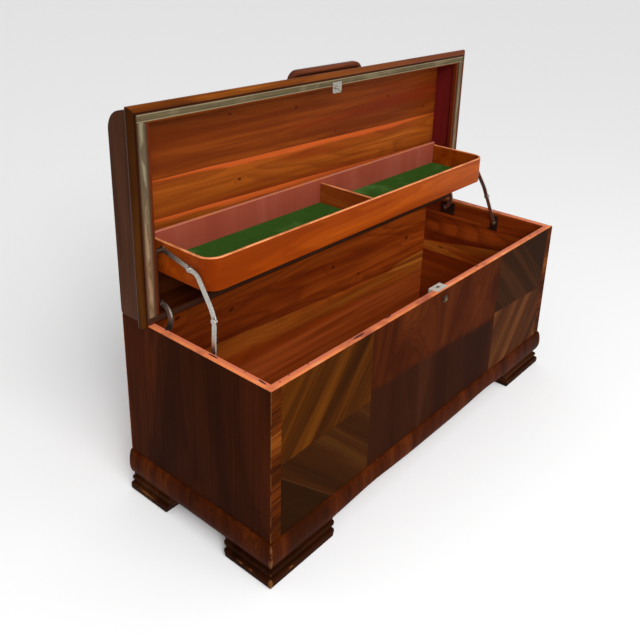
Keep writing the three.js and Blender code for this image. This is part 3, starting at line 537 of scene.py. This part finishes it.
def border_strip(name):
    """Cross-banded border: fine, nearly level stripes in lighter and darker blocks"""
    material, t, shader = new_material(name)
    place = t.place()
    x, y, z = t.axes(place)
    mirrored = t.add("CombineXYZ", {"X": t.calc("ABSOLUTE", x), "Y": y, "Z": z}).outputs[0]
    grain = t.turned(mirrored, (0, math.radians(-3), 0))
    fine = t.noise(t.turned(grain, scale=(14.0, 1.0, 390.0)), 1.0, 2.0, 0.5, 0.1)
    bands = t.noise(t.turned(grain, scale=(1.0, 1.0, 23.0)), 1.0, 2.0, 0.5)
    share = t.calc("MULTIPLY_ADD", bands, 0.55, t.times(fine, 0.45))
    colour = t.ramp(share, [(0.38, "220b02"), (0.46, "381503"), (0.54, "502206"), (0.64, "6e3a10")])
    # Lighter outer edges of the strip: rubbed wood and painted highlight
    corner = t.span(t.calc("ABSOLUTE", x), HALF_LENGTH - 0.0022, HALF_LENGTH - 0.0008)
    worn = t.use(rubbed, {"Vector": place, "Edge": corner, "Amount": 0.36})
    colour = t.blend(t.times(worn["Worn"], 0.6), colour, "6a4222")
    varnished(t, shader, place, colour, fine, shine=0.3, spread=0.16, level=0.005, strength=0.16)
    return material


def rubbed_and_highlit_corner(bright, amount, nose=None):
    """Lighter, rubbed wood and painted highlight on the outer corners and, where given, on a bead's
    nose
    """

    def dress(t, place, colour):
        x, y, z = t.axes(place)
        out = t.span(t.calc("ABSOLUTE", x), HALF_LENGTH - 0.004, HALF_LENGTH + 0.004)
        front = t.span(y, FRONT + 0.004, FRONT - 0.004)
        edge = t.times(out, front)
        if nose:
            low, high = nose
            middle, half = (low + high) / 2, (high - low) / 2
            away = t.gap(z, middle)
            edge = t.calc("MAXIMUM", edge, t.times(t.span(away, half, half * 0.4), 0.7))
        worn = t.use(rubbed, {"Vector": place, "Edge": edge, "Amount": amount})
        # Lighter here: rubbed wood and painted highlight
        return t.blend(t.times(worn["Worn"], 0.75), colour, bright)

    return dress


def hair_crack(t, place, colour):
    """A fine old crack across the chest's end, a little above the base"""
    _, y, z = t.axes(place)
    waver = t.times(t.noise(place, 6.0, 3.0), 0.012)
    line = t.plus(t.calc("MULTIPLY_ADD", y, -0.16, 0.139), waver)
    gap = t.gap(z, line)
    broken = t.span(t.noise(place, 11.0, 2.0), 0.45, 0.55)
    crack = t.times(t.span(gap, 0.0011, 0.0004, 0.0, 0.6), broken)
    return t.blend(crack, colour, "120602")


def moulding_shade(t, place, colour):
    """Painted shade in the inner step of the lid's moulding, and its redder run to the right"""
    x, _, z = t.axes(place)
    redder = t.span(x, -0.35, 0.5, 0.0, 0.75)
    colour = t.blend(redder, colour, "5a2d1c")
    # Painted shade along the inner step, beside the seal
    inner = t.span(t.calc("ABSOLUTE", x), MOULDING_STEP + 0.001, MOULDING_STEP - 0.001)
    under = t.span(z, MOULDING_UNDER + 0.001, MOULDING_UNDER - 0.001)
    return t.blend(t.times(t.times(inner, under), 0.85), colour, "1e0b04")


def lid_end_stain(name):
    """Maroon stain inside the lid's ends, with a bare cedar batten along the rim"""
    material, t, shader = new_material(name)
    place = t.place()
    y = t.axes(place)[1]
    upright = t.turned(place, UP)
    values = {"Scale": 10.0, "Stretch": 9.0, "Rings": 8.0, "Wander": 0.3}
    figure = t.use(growth, {"Vector": upright, **values})
    stain = t.ramp(figure["Broad"], [(0.3, "541112"), (0.5, "671818"), (0.7, "782420")])
    wood = t.ramp(figure["Broad"], [(0.3, "401406"), (0.5, "5a200a"), (0.7, "6e2e11")])
    wood = t.blend(t.times(figure["Rings"], 0.35), wood, "481808")
    colour = t.blend(t.span(y, BATTEN, BATTEN + 0.0006), wood, stain)
    colour = t.blend(t.span(figure["Fibre"], 0.35, 0.8, 0.0, 0.35), colour, "2a0806")
    fibre = figure["Fibre"]
    varnished(t, shader, place, colour, fibre, shine=0.4, spread=0.2, level=0.1, strength=0.25)
    return material


def tray_wood(name, turn, stops, top, bright="dc8c5c", lines=0.3):
    """Thin satin wood of the tray, with its upper edge left pale"""
    material, t, shader = new_material(name)
    place = t.place()
    grain = t.turned(place, turn)
    values = {"Scale": 14.0, "Stretch": 12.0, "Rings": 9.0, "Wander": 0.3}
    figure = t.use(growth, {"Vector": grain, **values})
    colour = t.ramp(figure["Broad"], stops)
    colour = t.blend(t.span(figure["Rings"], 0.2, 1.0, 0.0, lines), colour, stops[0][1])
    colour = t.blend(t.span(figure["Fibre"], 0.4, 0.75, 0.0, lines), colour, "45180a")
    cloud = t.noise(t.turned(place, scale=(1.0, 1.0, 1.8)), 9.0, 4.0, 0.55, 0.5)
    colour = t.blend(t.span(cloud, 0.5, 0.75, 0.0, 0.4), colour, stops[0][1])
    rim = t.span(t.axes(place)[2], top - 0.0028, top - 0.0016)
    pale = t.ramp(t.noise(place, 30.0, 3.0), [(0.3, "b4693e"), (0.6, bright)])
    colour = t.blend(rim, colour, pale)
    fibre = figure["Fibre"]
    varnished(t, shader, grain, colour, fibre, shine=0.34, spread=0.18, level=0.06, strength=0.2)
    return material


def seal_edges_and_crease_shadow(t, place, colour):
    """Pale edges along the front seal, and a painted shadow line in a shallow crease"""
    across = t.minus(t.axes(place)[2], FRONT_SEAL_LOW)
    # Painted shadow along the crease
    crease = t.span(t.gap(across, 0.0045), 0.0011, 0.0003, 0.0, 0.5)
    colour = t.blend(t.span(across, 0.0026, 0.0014, 0.0, 0.5), colour, "94866a")
    colour = t.blend(t.span(across, 0.0132, 0.0142, 0.0, 0.5), colour, "94866a")
    return t.blend(crease, colour, "241b10")


def painted_tube_light(t, place, colour):
    """Upright seal: olive above, browner below, a patchy painted highlight, painted shade on its
    sides
    """
    x, _, z = t.axes(place)
    away = t.gap(t.calc("ABSOLUTE", x), SEAL_RIDGE)
    higher = t.span(z, 0.58, 0.84)
    colour = t.blend(t.times(higher, 0.8), colour, "484030")
    patch = t.noise(t.turned(place, scale=(90.0, 1.0, 16.0)), 1.0, 4.0, 0.7, 0.6)
    # Painted highlight down the middle of the seal
    painted_highlight = t.times(t.span(away, 0.0075, 0.0015), t.span(patch, 0.42, 0.60, 0.05, 0.95))
    pale = t.blend(higher, "8a6c53", "766d55")
    colour = t.blend(painted_highlight, colour, pale)
    # Painted shade on the seal's sides
    return t.blend(t.span(away, 0.0065, 0.0105, 0.0, 0.8), colour, "38200f")


def cloth(name, stops, pale, fuzz=430.0, along=(1, 1, 1), rub=0.3, level=0.1, dress=None):
    """Napped felt: flecked fibres, rubbed lighter here and there"""
    material, t, shader = new_material(name)
    place = t.place()
    stretched = t.turned(place, scale=along)
    nap = t.noise(stretched, fuzz, 4.0, 0.7)
    lint = t.noise(stretched, fuzz * 3.1, 3.0, 0.7)
    patch = t.noise(place, 11.0, 4.0, 0.6, 0.5)
    colour = t.ramp(nap, stops)
    colour = t.blend(t.span(patch, 0.5, 0.75, 0.0, rub), colour, pale)
    colour = t.blend(t.span(lint, 0.6, 0.8, 0.0, 0.35), colour, pale)
    if dress:
        colour = dress(t, place, colour)
    t.feed(shader.inputs["Base Color"], colour)
    t.feed(shader.inputs["Roughness"], t.span(nap, 0.2, 0.8, 0.85, 1.0))
    height = t.calc("MULTIPLY_ADD", lint, 0.6, nap)
    bump = t.add("Bump", {"Height": height, "Strength": 0.6, "Distance": 0.001})
    t.feed(shader.inputs["Normal"], bump.outputs["Normal"])
    gloss(shader, level, "ffffff")
    return material


def bronze_face(t, place, colour):
    """The lock's ring round its button is browned where it comes through the front"""
    browned = t.span(t.axes(place)[1], COLLAR_FACE + 0.0005, COLLAR_FACE - 0.0005)
    return t.blend(browned, colour, "3a2a1c")


def metal(name, low, high, tarnish, shine, brush=(1, 1, 1), spots=0.6, dress=None, bare=1.0):
    """Plated metal, dulled and spotted by age"""
    material, t, shader = new_material(name, Metallic=bare)
    place = t.place()
    lines = t.noise(t.turned(place, scale=brush), 260.0, 3.0, 0.6)
    age = t.noise(place, 42.0, 4.0, 0.6, 0.6)
    colour = t.ramp(lines, [(0.25, low), (0.75, high)])
    colour = t.blend(t.span(age, 0.52, 0.8, 0.0, spots), colour, tarnish)
    if dress:
        colour = dress(t, place, colour)
    t.feed(shader.inputs["Base Color"], colour)
    t.feed(shader.inputs["Roughness"], t.span(age, 0.3, 0.7, shine, shine + 0.1))
    bump = t.add("Bump", {"Height": lines, "Strength": 0.015, "Distance": 0.0001})
    t.feed(shader.inputs["Normal"], bump.outputs["Normal"])
    return material


def wood_filler(name):
    """Dark filler over sunk brads"""
    material, t, shader = new_material(name, Roughness=0.6)
    fleck = t.noise(t.place(), 300.0, 3.0, 0.6)
    t.feed(shader.inputs["Base Color"], t.ramp(fleck, [(0.35, "38181a"), (0.65, "5e3330")]))
    gloss(shader, 0.1)
    return material


wall_cedar = ("591a07", "86340b", "a94c15", "c8742a")
end_cedar = ("4e1706", "7a2f0b", "9a4213", "b5621f")
lid_leaf = {
    "tones": ("2e180f", "462819", "5c392a"), "dark": "1a0c07", "level": 0.02, "turn": UP,
    "scale": 7.0, "stretch": 7.0, "wander": 0.5, "shine": 0.32, "cloud": 0.7,
}

# A leaf of a front field: slant in degrees, colours, how many bands, start in the figure.
# A corner: its height, the side that it lies on, its tone and how strong it is.
finishes = {
    "cedar_long": cedar(
        "cedar, lengthwise", LEVEL, 0.151, "z", wall_cedar, WALL_SAPWOOD, wall_painted_shade_and_light),
    "cedar_ends": cedar("cedar, across", BACKWARDS, 0.137, "z", end_cedar, END_SAPWOOD),
    "cedar_floor": cedar("cedar floor", LEVEL, 0.105, "y", wall_cedar),
    "lid_cedar": lid_boards("lid cedar"),
    "end_walnut": veneer(
        "end walnut", ("220c04", "311306", "451c09"), "160602", 0.006, UP, scale=7.0, stretch=7.0,
        wander=0.5, lines=0.22, shine=0.28, cloud=0.8, dress=hair_crack),
    "lid_walnut": veneer("lid walnut", **lid_leaf),
    "lid_sheet": veneer("lid sheet", bent=True, **lid_leaf),
    "striped": border_strip("border strip"),
    "gold_field": two_leaves(
        "gold field",
        (51, [(0.34, "281102"), (0.45, "391a03"), (0.55, "4a2404"), (0.68, "5b3208")], 19.0, 0.3),
        (-43, [(0.34, "241003"), (0.5, "2f1504"), (0.66, "3d2007")], 24.0, 1.7),
        GOLD_SEAM, (-0.2555, -1, "130802", 0.6)),
    "red_field": curly_field("red field"),
    "brown_field": two_leaves(
        "brown field",
        (-44, [(0.34, "1b0c04"), (0.5, "261205"), (0.66, "371d0b")], 22.0, 2.9),
        (51, [(0.36, "2c1507"), (0.47, "3f1f0c"), (0.56, "4e2a11"), (0.68, "67401f")], 24.0, 4.1),
        BROWN_SEAM, (0.8385, 1, "1e1007", 0.45)),
    "rail": veneer(
        "rail", ("2c1004", "3e1705", "522308"), "200a03", 0.008, UP, scale=24.0, rings=14.0,
        wander=0.3, lines=0.4, shine=0.28, cloud=0.4, dress=rubbed_and_highlit_corner("6a4224", 0.36)),
    "foot": veneer(
        "foot", ("1d0b04", "2b1206", "3e1f0c"), "120702", 0.012, scale=14.0, stretch=8.0,
        lines=0.35, shine=0.34, dress=rubbed_and_highlit_corner("6c4420", 0.4, nose=(0.012, 0.020))),
    "maroon": lid_end_stain("maroon stain"),
    "moulding": veneer(
        "moulding", ("562709", "7a3f10", "98561b"), "321505", 0.06, dress=moulding_shade),
    "moulding_up": veneer(
        "upright moulding", ("220f03", "321906", "45250a"), "2a1104", 0.05, UP,
        dress=moulding_shade),
    "pull": veneer("pull", ("3c1a0e", "562919", "703c26"), "241009", 0.06, shine=0.28),
    "gasket": cloth(
        "seal", [(0.32, "403728"), (0.62, "5a4e36")], "867a5e", along=(0.016, 1.0, 0.8),
        dress=seal_edges_and_crease_shadow),
    "gasket_up": cloth(
        "upright seal", [(0.32, "4c3624"), (0.62, "664c36")], "80664c", along=(0.8, 1.0, 0.016),
        dress=painted_tube_light),
    # Painted shade: a darker copy of the seal for its rear run under the tray
    "gasket_dark": cloth(
        "shaded seal", [(0.32, "26120a"), (0.62, "3c2012")], "4c2c1a", along=(0.016, 1.0, 0.8)),
    "felt": cloth(
        "green felt", [(0.32, "223c10"), (0.62, "35591e")], "5c8040",
        fuzz=700.0, rub=0.4, level=0.04),
    "steel": metal("plated steel", "b0aca3", "c8c4bb", "8f887c", 0.3, DRAWN, spots=0.3),
    "dull_steel": metal("dull steel", "948b80", "b4aba0", "6a6056", 0.36, DRAWN),
    # Painted shade: a darker copy of the steel for plates that stand in shade
    "browned_steel": metal("steel darkened for shade", "44342b", "5c483d", "2a1b15", 0.44, DRAWN),
    "catch_steel": metal("tarnished catch", "98948b", "bab6ac", "4e463c", 0.32, spots=0.9),
    "lock_metal": metal(
        "lock case", "c6c0b4", "dcd7cc", "a09484", 0.34, spots=0.3, dress=bronze_face, bare=0.4),
    "brass": metal("old brass", "4e3c28", "7e6240", "2a2018", 0.28, spots=0.5),
    "tray_wood": tray_wood(
        "tray wood", LEVEL, [(0.3, "6c2503"), (0.5, "843404"), (0.7, "9c460a")], TRAY_TOP),
    "tray_wood_ends": tray_wood(
        "tray wood, across", BACKWARDS, [(0.3, "642809"), (0.5, "7c340d"), (0.7, "924616")],
        DIVIDER_TOP),
    "tray_rose": tray_wood(
        "tray rose", UP, [(0.2, "7c3626"), (0.5, "883f2e"), (0.8, "945040")], TRAY_BACK_TOP,
        bright="a86450", lines=0.1),
    "filler": wood_filler("brad filler"),
}

# Which finish each node takes, and how wide its edges are eased
dressing = {
    ("cedar_long", 0.0009): ["body_front", "body_back"],
    ("cedar_ends", 0.0009): ["body_end_left", "body_end_right"],
    ("cedar_floor", 0): ["body_floor"],
    ("lid_cedar", 0.0008): ["lid_front_board", "lid_top_board", "lid_back_board"],
    ("maroon", 0.0009): ["lid_end_left", "lid_end_right"],
    ("lid_sheet", 0.0005): ["lid_veneer"],
    ("lid_walnut", 0.0005): ["lid_end_veneer_left", "lid_end_veneer_right"],
    ("end_walnut", 0.0004): ["veneer_end_left", "veneer_end_right"],
    ("striped", 0.0003): ["veneer_strip_left", "veneer_strip_right"],
    ("gold_field", 0.0002): ["veneer_field_left"],
    ("red_field", 0.0002): ["veneer_field_centre"],
    ("brown_field", 0.0002): ["veneer_field_right"],
    ("rail", 0.0012): ["rail_front", "rail_left", "rail_right"],
    ("rail", 0): ["rail_back"],
    ("foot", 0.0012): ["foot_front_left", "foot_front_right", "foot_rear_left", "foot_rear_right"],
    ("moulding", 0.0004): ["lid_moulding_front"],
    ("moulding_up", 0.0004): ["lid_moulding_left", "lid_moulding_right"],
    ("pull", 0.0022): ["lid_pull"],
    ("gasket", 0.0005): ["gasket_front"],
    ("gasket_dark", 0.0005): ["gasket_back"],
    ("gasket_up", 0.0005): ["gasket_left", "gasket_right"],
    ("catch_steel", 0.0004): ["lid_catch"],
    ("lock_metal", 0.0004): ["lock_case"],
    ("steel", 0): ["lock_bolt"],
    ("brass", 0.0012): ["lock_button"],
    ("tray_wood", 0.0014): ["tray_rim"],
    ("tray_wood", 0): ["tray_bottom"],
    ("tray_rose", 0.0012): ["tray_back"],
    ("tray_wood_ends", 0.0012): ["tray_divider"],
    ("felt", 0.0005): ["tray_felt_left", "tray_felt_right"],
}
for finish_name, parts in (
    ("steel", ("stay_lower", "stay_upper", "tray_bar")),
    ("dull_steel", ("lid_arm",)),
    ("browned_steel", ("arm_plate", "stay_plate", "lid_hinge_plate")),
):
    dressing[(finish_name, 0.0006)] = [f"{part}_{side}" for part in parts for side, _ in SIDES]


def only(*objects):
    """Makes these objects the whole selection, the first one active"""
    bpy.ops.object.select_all(action="DESELECT")
    for obj in objects:
        obj.select_set(True)
    bpy.context.view_layer.objects.active = objects[0]


def set_finish(obj, name):
    obj.data.materials.clear()
    obj.data.materials.append(finishes[name])


def add_bevel(obj, width):
    bevel = obj.modifiers.new("eased edges", "BEVEL")
    bevel.width = width
    bevel.segments = 2
    bevel.limit_method = "ANGLE"
    bevel.angle_limit = math.radians(28)
    bevel.use_clamp_overlap = True
    bevel.harden_normals = True
    bpy.ops.object.modifier_apply(modifier=bevel.name)


def eased(node, finish_name, width):
    """A copy that stands for its solid, with triangles merged and sharp edges eased"""
    piece = bpy.data.objects.new(f"{node}_eased", nodes[node].data.copy())
    bpy.context.scene.collection.objects.link(piece)
    only(piece)
    bpy.ops.object.mode_set(mode="EDIT")
    bpy.ops.mesh.select_all(action="SELECT")
    bpy.ops.mesh.remove_doubles(threshold=0.00001)
    bpy.ops.mesh.dissolve_limited(angle_limit=math.radians(0.6))
    bpy.ops.object.mode_set(mode="OBJECT")
    bpy.ops.object.shade_smooth_by_angle(angle=math.radians(32))
    add_bevel(piece, width)
    set_finish(piece, finish_name)
    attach(piece, body_of[node])
    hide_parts(node)


for (finish_name, width), members in dressing.items():
    for node in members:
        if width:
            eased(node, finish_name, width)
        else:
            set_finish(nodes[node], finish_name)


def widen_seal(side, way):
    """Moves an upright seal's inner side towards the opening, where worn felt has spread"""
    seal = bpy.data.objects[f"gasket_{side}_eased"]
    only(seal)
    bpy.ops.object.mode_set(mode="EDIT")
    bpy.ops.mesh.select_mode(type="VERT")
    bpy.ops.mesh.select_all(action="DESELECT")
    bpy.ops.object.mode_set(mode="OBJECT")
    low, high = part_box(f"gasket_{side}")
    middle = (low[0] + high[0]) / 2
    inner = min(abs(low[0]), abs(high[0]))
    for vertex in seal.data.vertices:
        vertex.select = abs(vertex.co.x) < abs(middle)
    bpy.ops.object.mode_set(mode="EDIT")
    bpy.ops.transform.translate(value=(way * (SEAL_INNER - inner), 0, 0))
    bpy.ops.object.mode_set(mode="OBJECT")


def pull_web():
    """The thin web along the pull's far side; fingers hook in from the rim's side"""
    thickness, set_in, shorter, lower, dropped = 0.005, 0.0045, 0.020, 0.0105, 0.0050
    low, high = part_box("lid_pull")
    bpy.ops.object.select_all(action="DESELECT")
    bpy.ops.mesh.primitive_cube_add(size=1)
    web = bpy.context.object
    web.name = "lid_pull_web"
    web.scale = (high[0] - low[0] - shorter, thickness, high[2] - low[2] - lower)
    web.location = (0, high[1] - set_in, (low[2] + high[2]) / 2 - dropped)
    only(web)
    bpy.ops.object.transform_apply(location=True, rotation=True, scale=True)
    add_bevel(web, 0.0012)
    set_finish(web, "pull")
    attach(web, "lid")


for side, way in SIDES:
    widen_seal(side, way)
pull_web()


# Small fastenings, modelled lying flat at the origin and then set in place
def settle(obj, place, turn):
    """Turns and places a piece, and puts that into its mesh"""
    obj.rotation_euler = turn
    obj.location = place
    only(obj)
    bpy.ops.object.transform_apply(location=True, rotation=True, scale=True)


def low_dome(radius, rise):
    """The upper half of a flattened ball"""
    bpy.ops.object.select_all(action="DESELECT")
    bpy.ops.mesh.primitive_uv_sphere_add(segments=28, ring_count=14, radius=radius)
    head = bpy.context.object
    head.scale = (1, 1, rise / radius)
    bpy.ops.object.transform_apply(location=False, rotation=False, scale=True)
    bpy.ops.object.mode_set(mode="EDIT")
    bpy.ops.mesh.select_all(action="SELECT")
    bpy.ops.mesh.bisect(plane_co=(0, 0, 0), plane_no=(0, 0, 1), use_fill=True, clear_inner=True)
    bpy.ops.object.mode_set(mode="OBJECT")
    return head


def screw_head(place, turn, radius, rise, slot_turn):
    """A slotted countersunk head: a low dome with a straight slot across it"""
    head = low_dome(radius, rise)
    bpy.ops.object.select_all(action="DESELECT")
    bpy.ops.mesh.primitive_cube_add(size=1, rotation=(0, 0, slot_turn))
    blade = bpy.context.object
    blade.scale = (3 * radius, radius * 0.26, rise * 1.3)
    blade.location = (0, 0, rise)
    only(blade)
    bpy.ops.object.transform_apply(location=True, rotation=True, scale=True)
    only(head)
    slot = head.modifiers.new("slot", "BOOLEAN")
    slot.operation = "DIFFERENCE"
    slot.object = blade
    bpy.ops.object.modifier_apply(modifier=slot.name)
    bpy.data.objects.remove(blade)
    bpy.ops.object.shade_smooth_by_angle(angle=math.radians(40))
    settle(head, place, turn)
    return head


def pin_head(place, turn, radius, rise):
    """The low dome of a riveted pin"""
    head = low_dome(radius, rise)
    bpy.ops.object.shade_smooth_by_angle(angle=math.radians(40))
    settle(head, place, turn)
    return head


def gathered(name, pieces, finish_name, body):
    """Joins like pieces into one object that rides its body"""
    only(*pieces)
    if len(pieces) > 1:
        bpy.ops.object.join()
    whole = bpy.context.object
    whole.name = name
    set_finish(whole, finish_name)
    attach(whole, body)


# Where each joint has its pin, and how far the screws sit from a plate's edges
pins = {joint["name"]: joint.get("pos_m") for joint in frame["record"]["behaviour"]["joints"]}
INSET = 0.006

for side, way in SIDES:
    inwards = (0, math.radians(-90 * way), 0)
    arm_y, arm_z = pins[f"arm_{side}_swing"][1:]
    stay_y, stay_z = pins[f"lower_stay_{side}_swing"][1:]
    low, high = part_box(f"arm_plate_{side}")
    near, far, base, crown = low[1] + INSET, high[1] - INSET, low[2] + INSET, high[2] - INSET
    rows = [(near, base, 0.4), (far, base, 1.3), (far, crown, 2.2)]
    heads = [
        screw_head((way * PLATE_FACE, y, z), inwards, 0.0034, 0.0009, turn)
        for y, z, turn in rows
    ]
    low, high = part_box(f"stay_plate_{side}")
    rows = [(low[2] + INSET, 0.7), (high[2] - INSET, 1.9)]
    heads += [
        screw_head((way * PLATE_FACE, stay_y, z), inwards, 0.003, 0.0003, turn)
        for z, turn in rows
    ]
    gathered(f"body_screws_{side}", heads, "browned_steel", "body")
    low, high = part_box(f"lid_hinge_plate_{side}")
    middle = RIM + INSET
    foot, head = low[2], high[2]
    rows = [(foot + 0.030, 0.2), (foot + 0.052, 1.1), (head - 0.046, 2.4), (head - 0.024, 0.9)]
    heads = [
        screw_head((way * HINGE_FACE, middle, z), inwards, 0.003, 0.0008, turn)
        for z, turn in rows
    ]
    gathered(f"hinge_screws_{side}", heads, "dull_steel", "lid")
    heads = [
        pin_head((way * ARM_HEAD, arm_y, arm_z), inwards, 0.0046, 0.0009),
        pin_head((way * FOOT_HEAD, stay_y, stay_z), inwards, 0.0046, 0.0008),
    ]
    gathered(f"pin_domes_{side}", heads, "dull_steel", "body")


# Filled brads and small mends along the body's bare top edges: place, half sizes, turn in degrees
def edge_marks():
    rows = [
        (-0.5822, 0.0992, 0.0040, 0.0016, 90), (-0.5854, -0.0527, 0.0150, 0.0022, 90),
        (-0.5833, -0.1426, 0.0020, 0.0014, 90), (-0.5855, -0.1920, 0.0120, 0.0024, 84),
        (-0.5628, -0.2168, 0.0022, 0.0016, 0), (-0.5335, -0.2126, 0.0020, 0.0015, 0),
        (-0.4789, -0.2128, 0.0022, 0.0016, 0), (-0.3218, -0.2174, 0.0200, 0.0030, 2),
        (-0.2099, -0.2117, 0.0110, 0.0026, 0), (-0.1055, -0.2200, 0.0022, 0.0015, 0),
        (0.1791, -0.2143, 0.0080, 0.0020, 0), (0.3500, -0.2170, 0.0022, 0.0015, 0),
        (0.4800, -0.2140, 0.0022, 0.0015, 0), (0.5840, -0.1500, 0.0020, 0.0015, 90),
        (0.5850, -0.0200, 0.0120, 0.0022, 90), (0.5830, 0.0900, 0.0020, 0.0015, 90),
        (-0.4200, 0.2200, 0.0022, 0.0015, 0), (0.0400, 0.2190, 0.0022, 0.0015, 0),
        (0.4300, 0.2200, 0.0022, 0.0015, 0),
    ]
    marks, thickness, sunk = [], 0.0008, 0.00033
    for x, y, long, wide, turn in rows:
        bpy.ops.object.select_all(action="DESELECT")
        bpy.ops.mesh.primitive_cylinder_add(vertices=20, radius=1, depth=thickness)
        mark = bpy.context.object
        mark.scale = (long, wide, 1)
        bpy.ops.object.transform_apply(location=False, rotation=False, scale=True)
        settle(mark, (x, y + SHIFT, BODY_TOP - sunk), (0, 0, math.radians(turn)))
        marks.append(mark)
    gathered("edge_fillings", marks, "filler", "body")


edge_marks()


# Camera, floor and light
def add_camera():
    """The photograph's own view: its angles in radians, the rest in points of a picture 640 wide"""
    picture, sensor, focus, centre = 640, 36, 766.65, (360.17, 222.67)
    yaw, pitch, roll = 0.9161, -0.367, 0.0478
    bpy.ops.object.camera_add(location=(-1.47219, -1.08478, 1.28627))
    camera = bpy.context.object
    forward = (math.sin(yaw) * math.cos(pitch), math.cos(yaw) * math.cos(pitch), math.sin(pitch))
    level = (math.cos(yaw), -math.sin(yaw), 0.0)
    raised = (
        level[1] * forward[2] - level[2] * forward[1],
        level[2] * forward[0] - level[0] * forward[2],
        level[0] * forward[1] - level[1] * forward[0],
    )
    right = [math.cos(roll) * a + math.sin(roll) * b for a, b in zip(level, raised)]
    up = [math.cos(roll) * b - math.sin(roll) * a for a, b in zip(level, raised)]
    axes = [(r, u, -f) for r, u, f in zip(right, up, forward)]
    camera.rotation_euler = Matrix(axes).to_euler()
    camera.data.sensor_width = sensor
    camera.data.lens = sensor * focus / picture
    camera.data.shift_x = (picture / 2 - centre[0]) / picture
    camera.data.shift_y = (centre[1] - picture / 2) / picture
    bpy.context.scene.camera = camera


def add_floor():
    material, _, shader = new_material("pale floor", Roughness=0.8)
    shader.inputs["Base Color"].default_value = (0.9, 0.9, 0.9, 1)
    bpy.ops.mesh.primitive_plane_add(size=70, location=(0, 0, -0.0004))
    floor = bpy.context.object
    floor.name = "floor"
    floor.data.materials.append(material)


def aim(light, place, target):
    """Points a light from its place at a target"""
    dx, dy, dz = (a - b for a, b in zip(target, place))
    tilt = math.atan2(math.hypot(dx, dy), -dz)
    light.rotation_euler = (tilt, 0, math.atan2(dy, dx) - math.pi / 2)


def add_lights():
    world = bpy.data.worlds.new("soft room")
    bpy.context.scene.world = world
    world.use_nodes = True
    background = world.node_tree.nodes["Background"]
    background.inputs["Color"].default_value = (1.0, 1.0, 1.0, 1)
    background.inputs["Strength"].default_value = 0.47
    bpy.ops.object.light_add(type="SUN")
    sun = bpy.context.object
    sun.name = "broad light"
    sun.data.energy = 1.9
    sun.data.angle = math.radians(40)
    aim(sun, (-1.0, -2.6, 2.4), (0, 0, 0))
    rows = [
        ("key", (-2.4, -2.6, 2.4), 1.3, 60, (0.0, 0, 0.45)),
        ("low fill", (0.2, -3.2, 1.3), 1.8, 32, (0.1, 0, 0.35)),
    ]
    for name, place, size, power, target in rows:
        bpy.ops.object.light_add(type="AREA", location=place)
        light = bpy.context.object
        light.name = name
        light.data.size = size
        light.data.energy = power
        aim(light, place, target)


add_camera()
add_floor()
add_lights()
bpy.context.scene.view_settings.view_transform = "Standard"
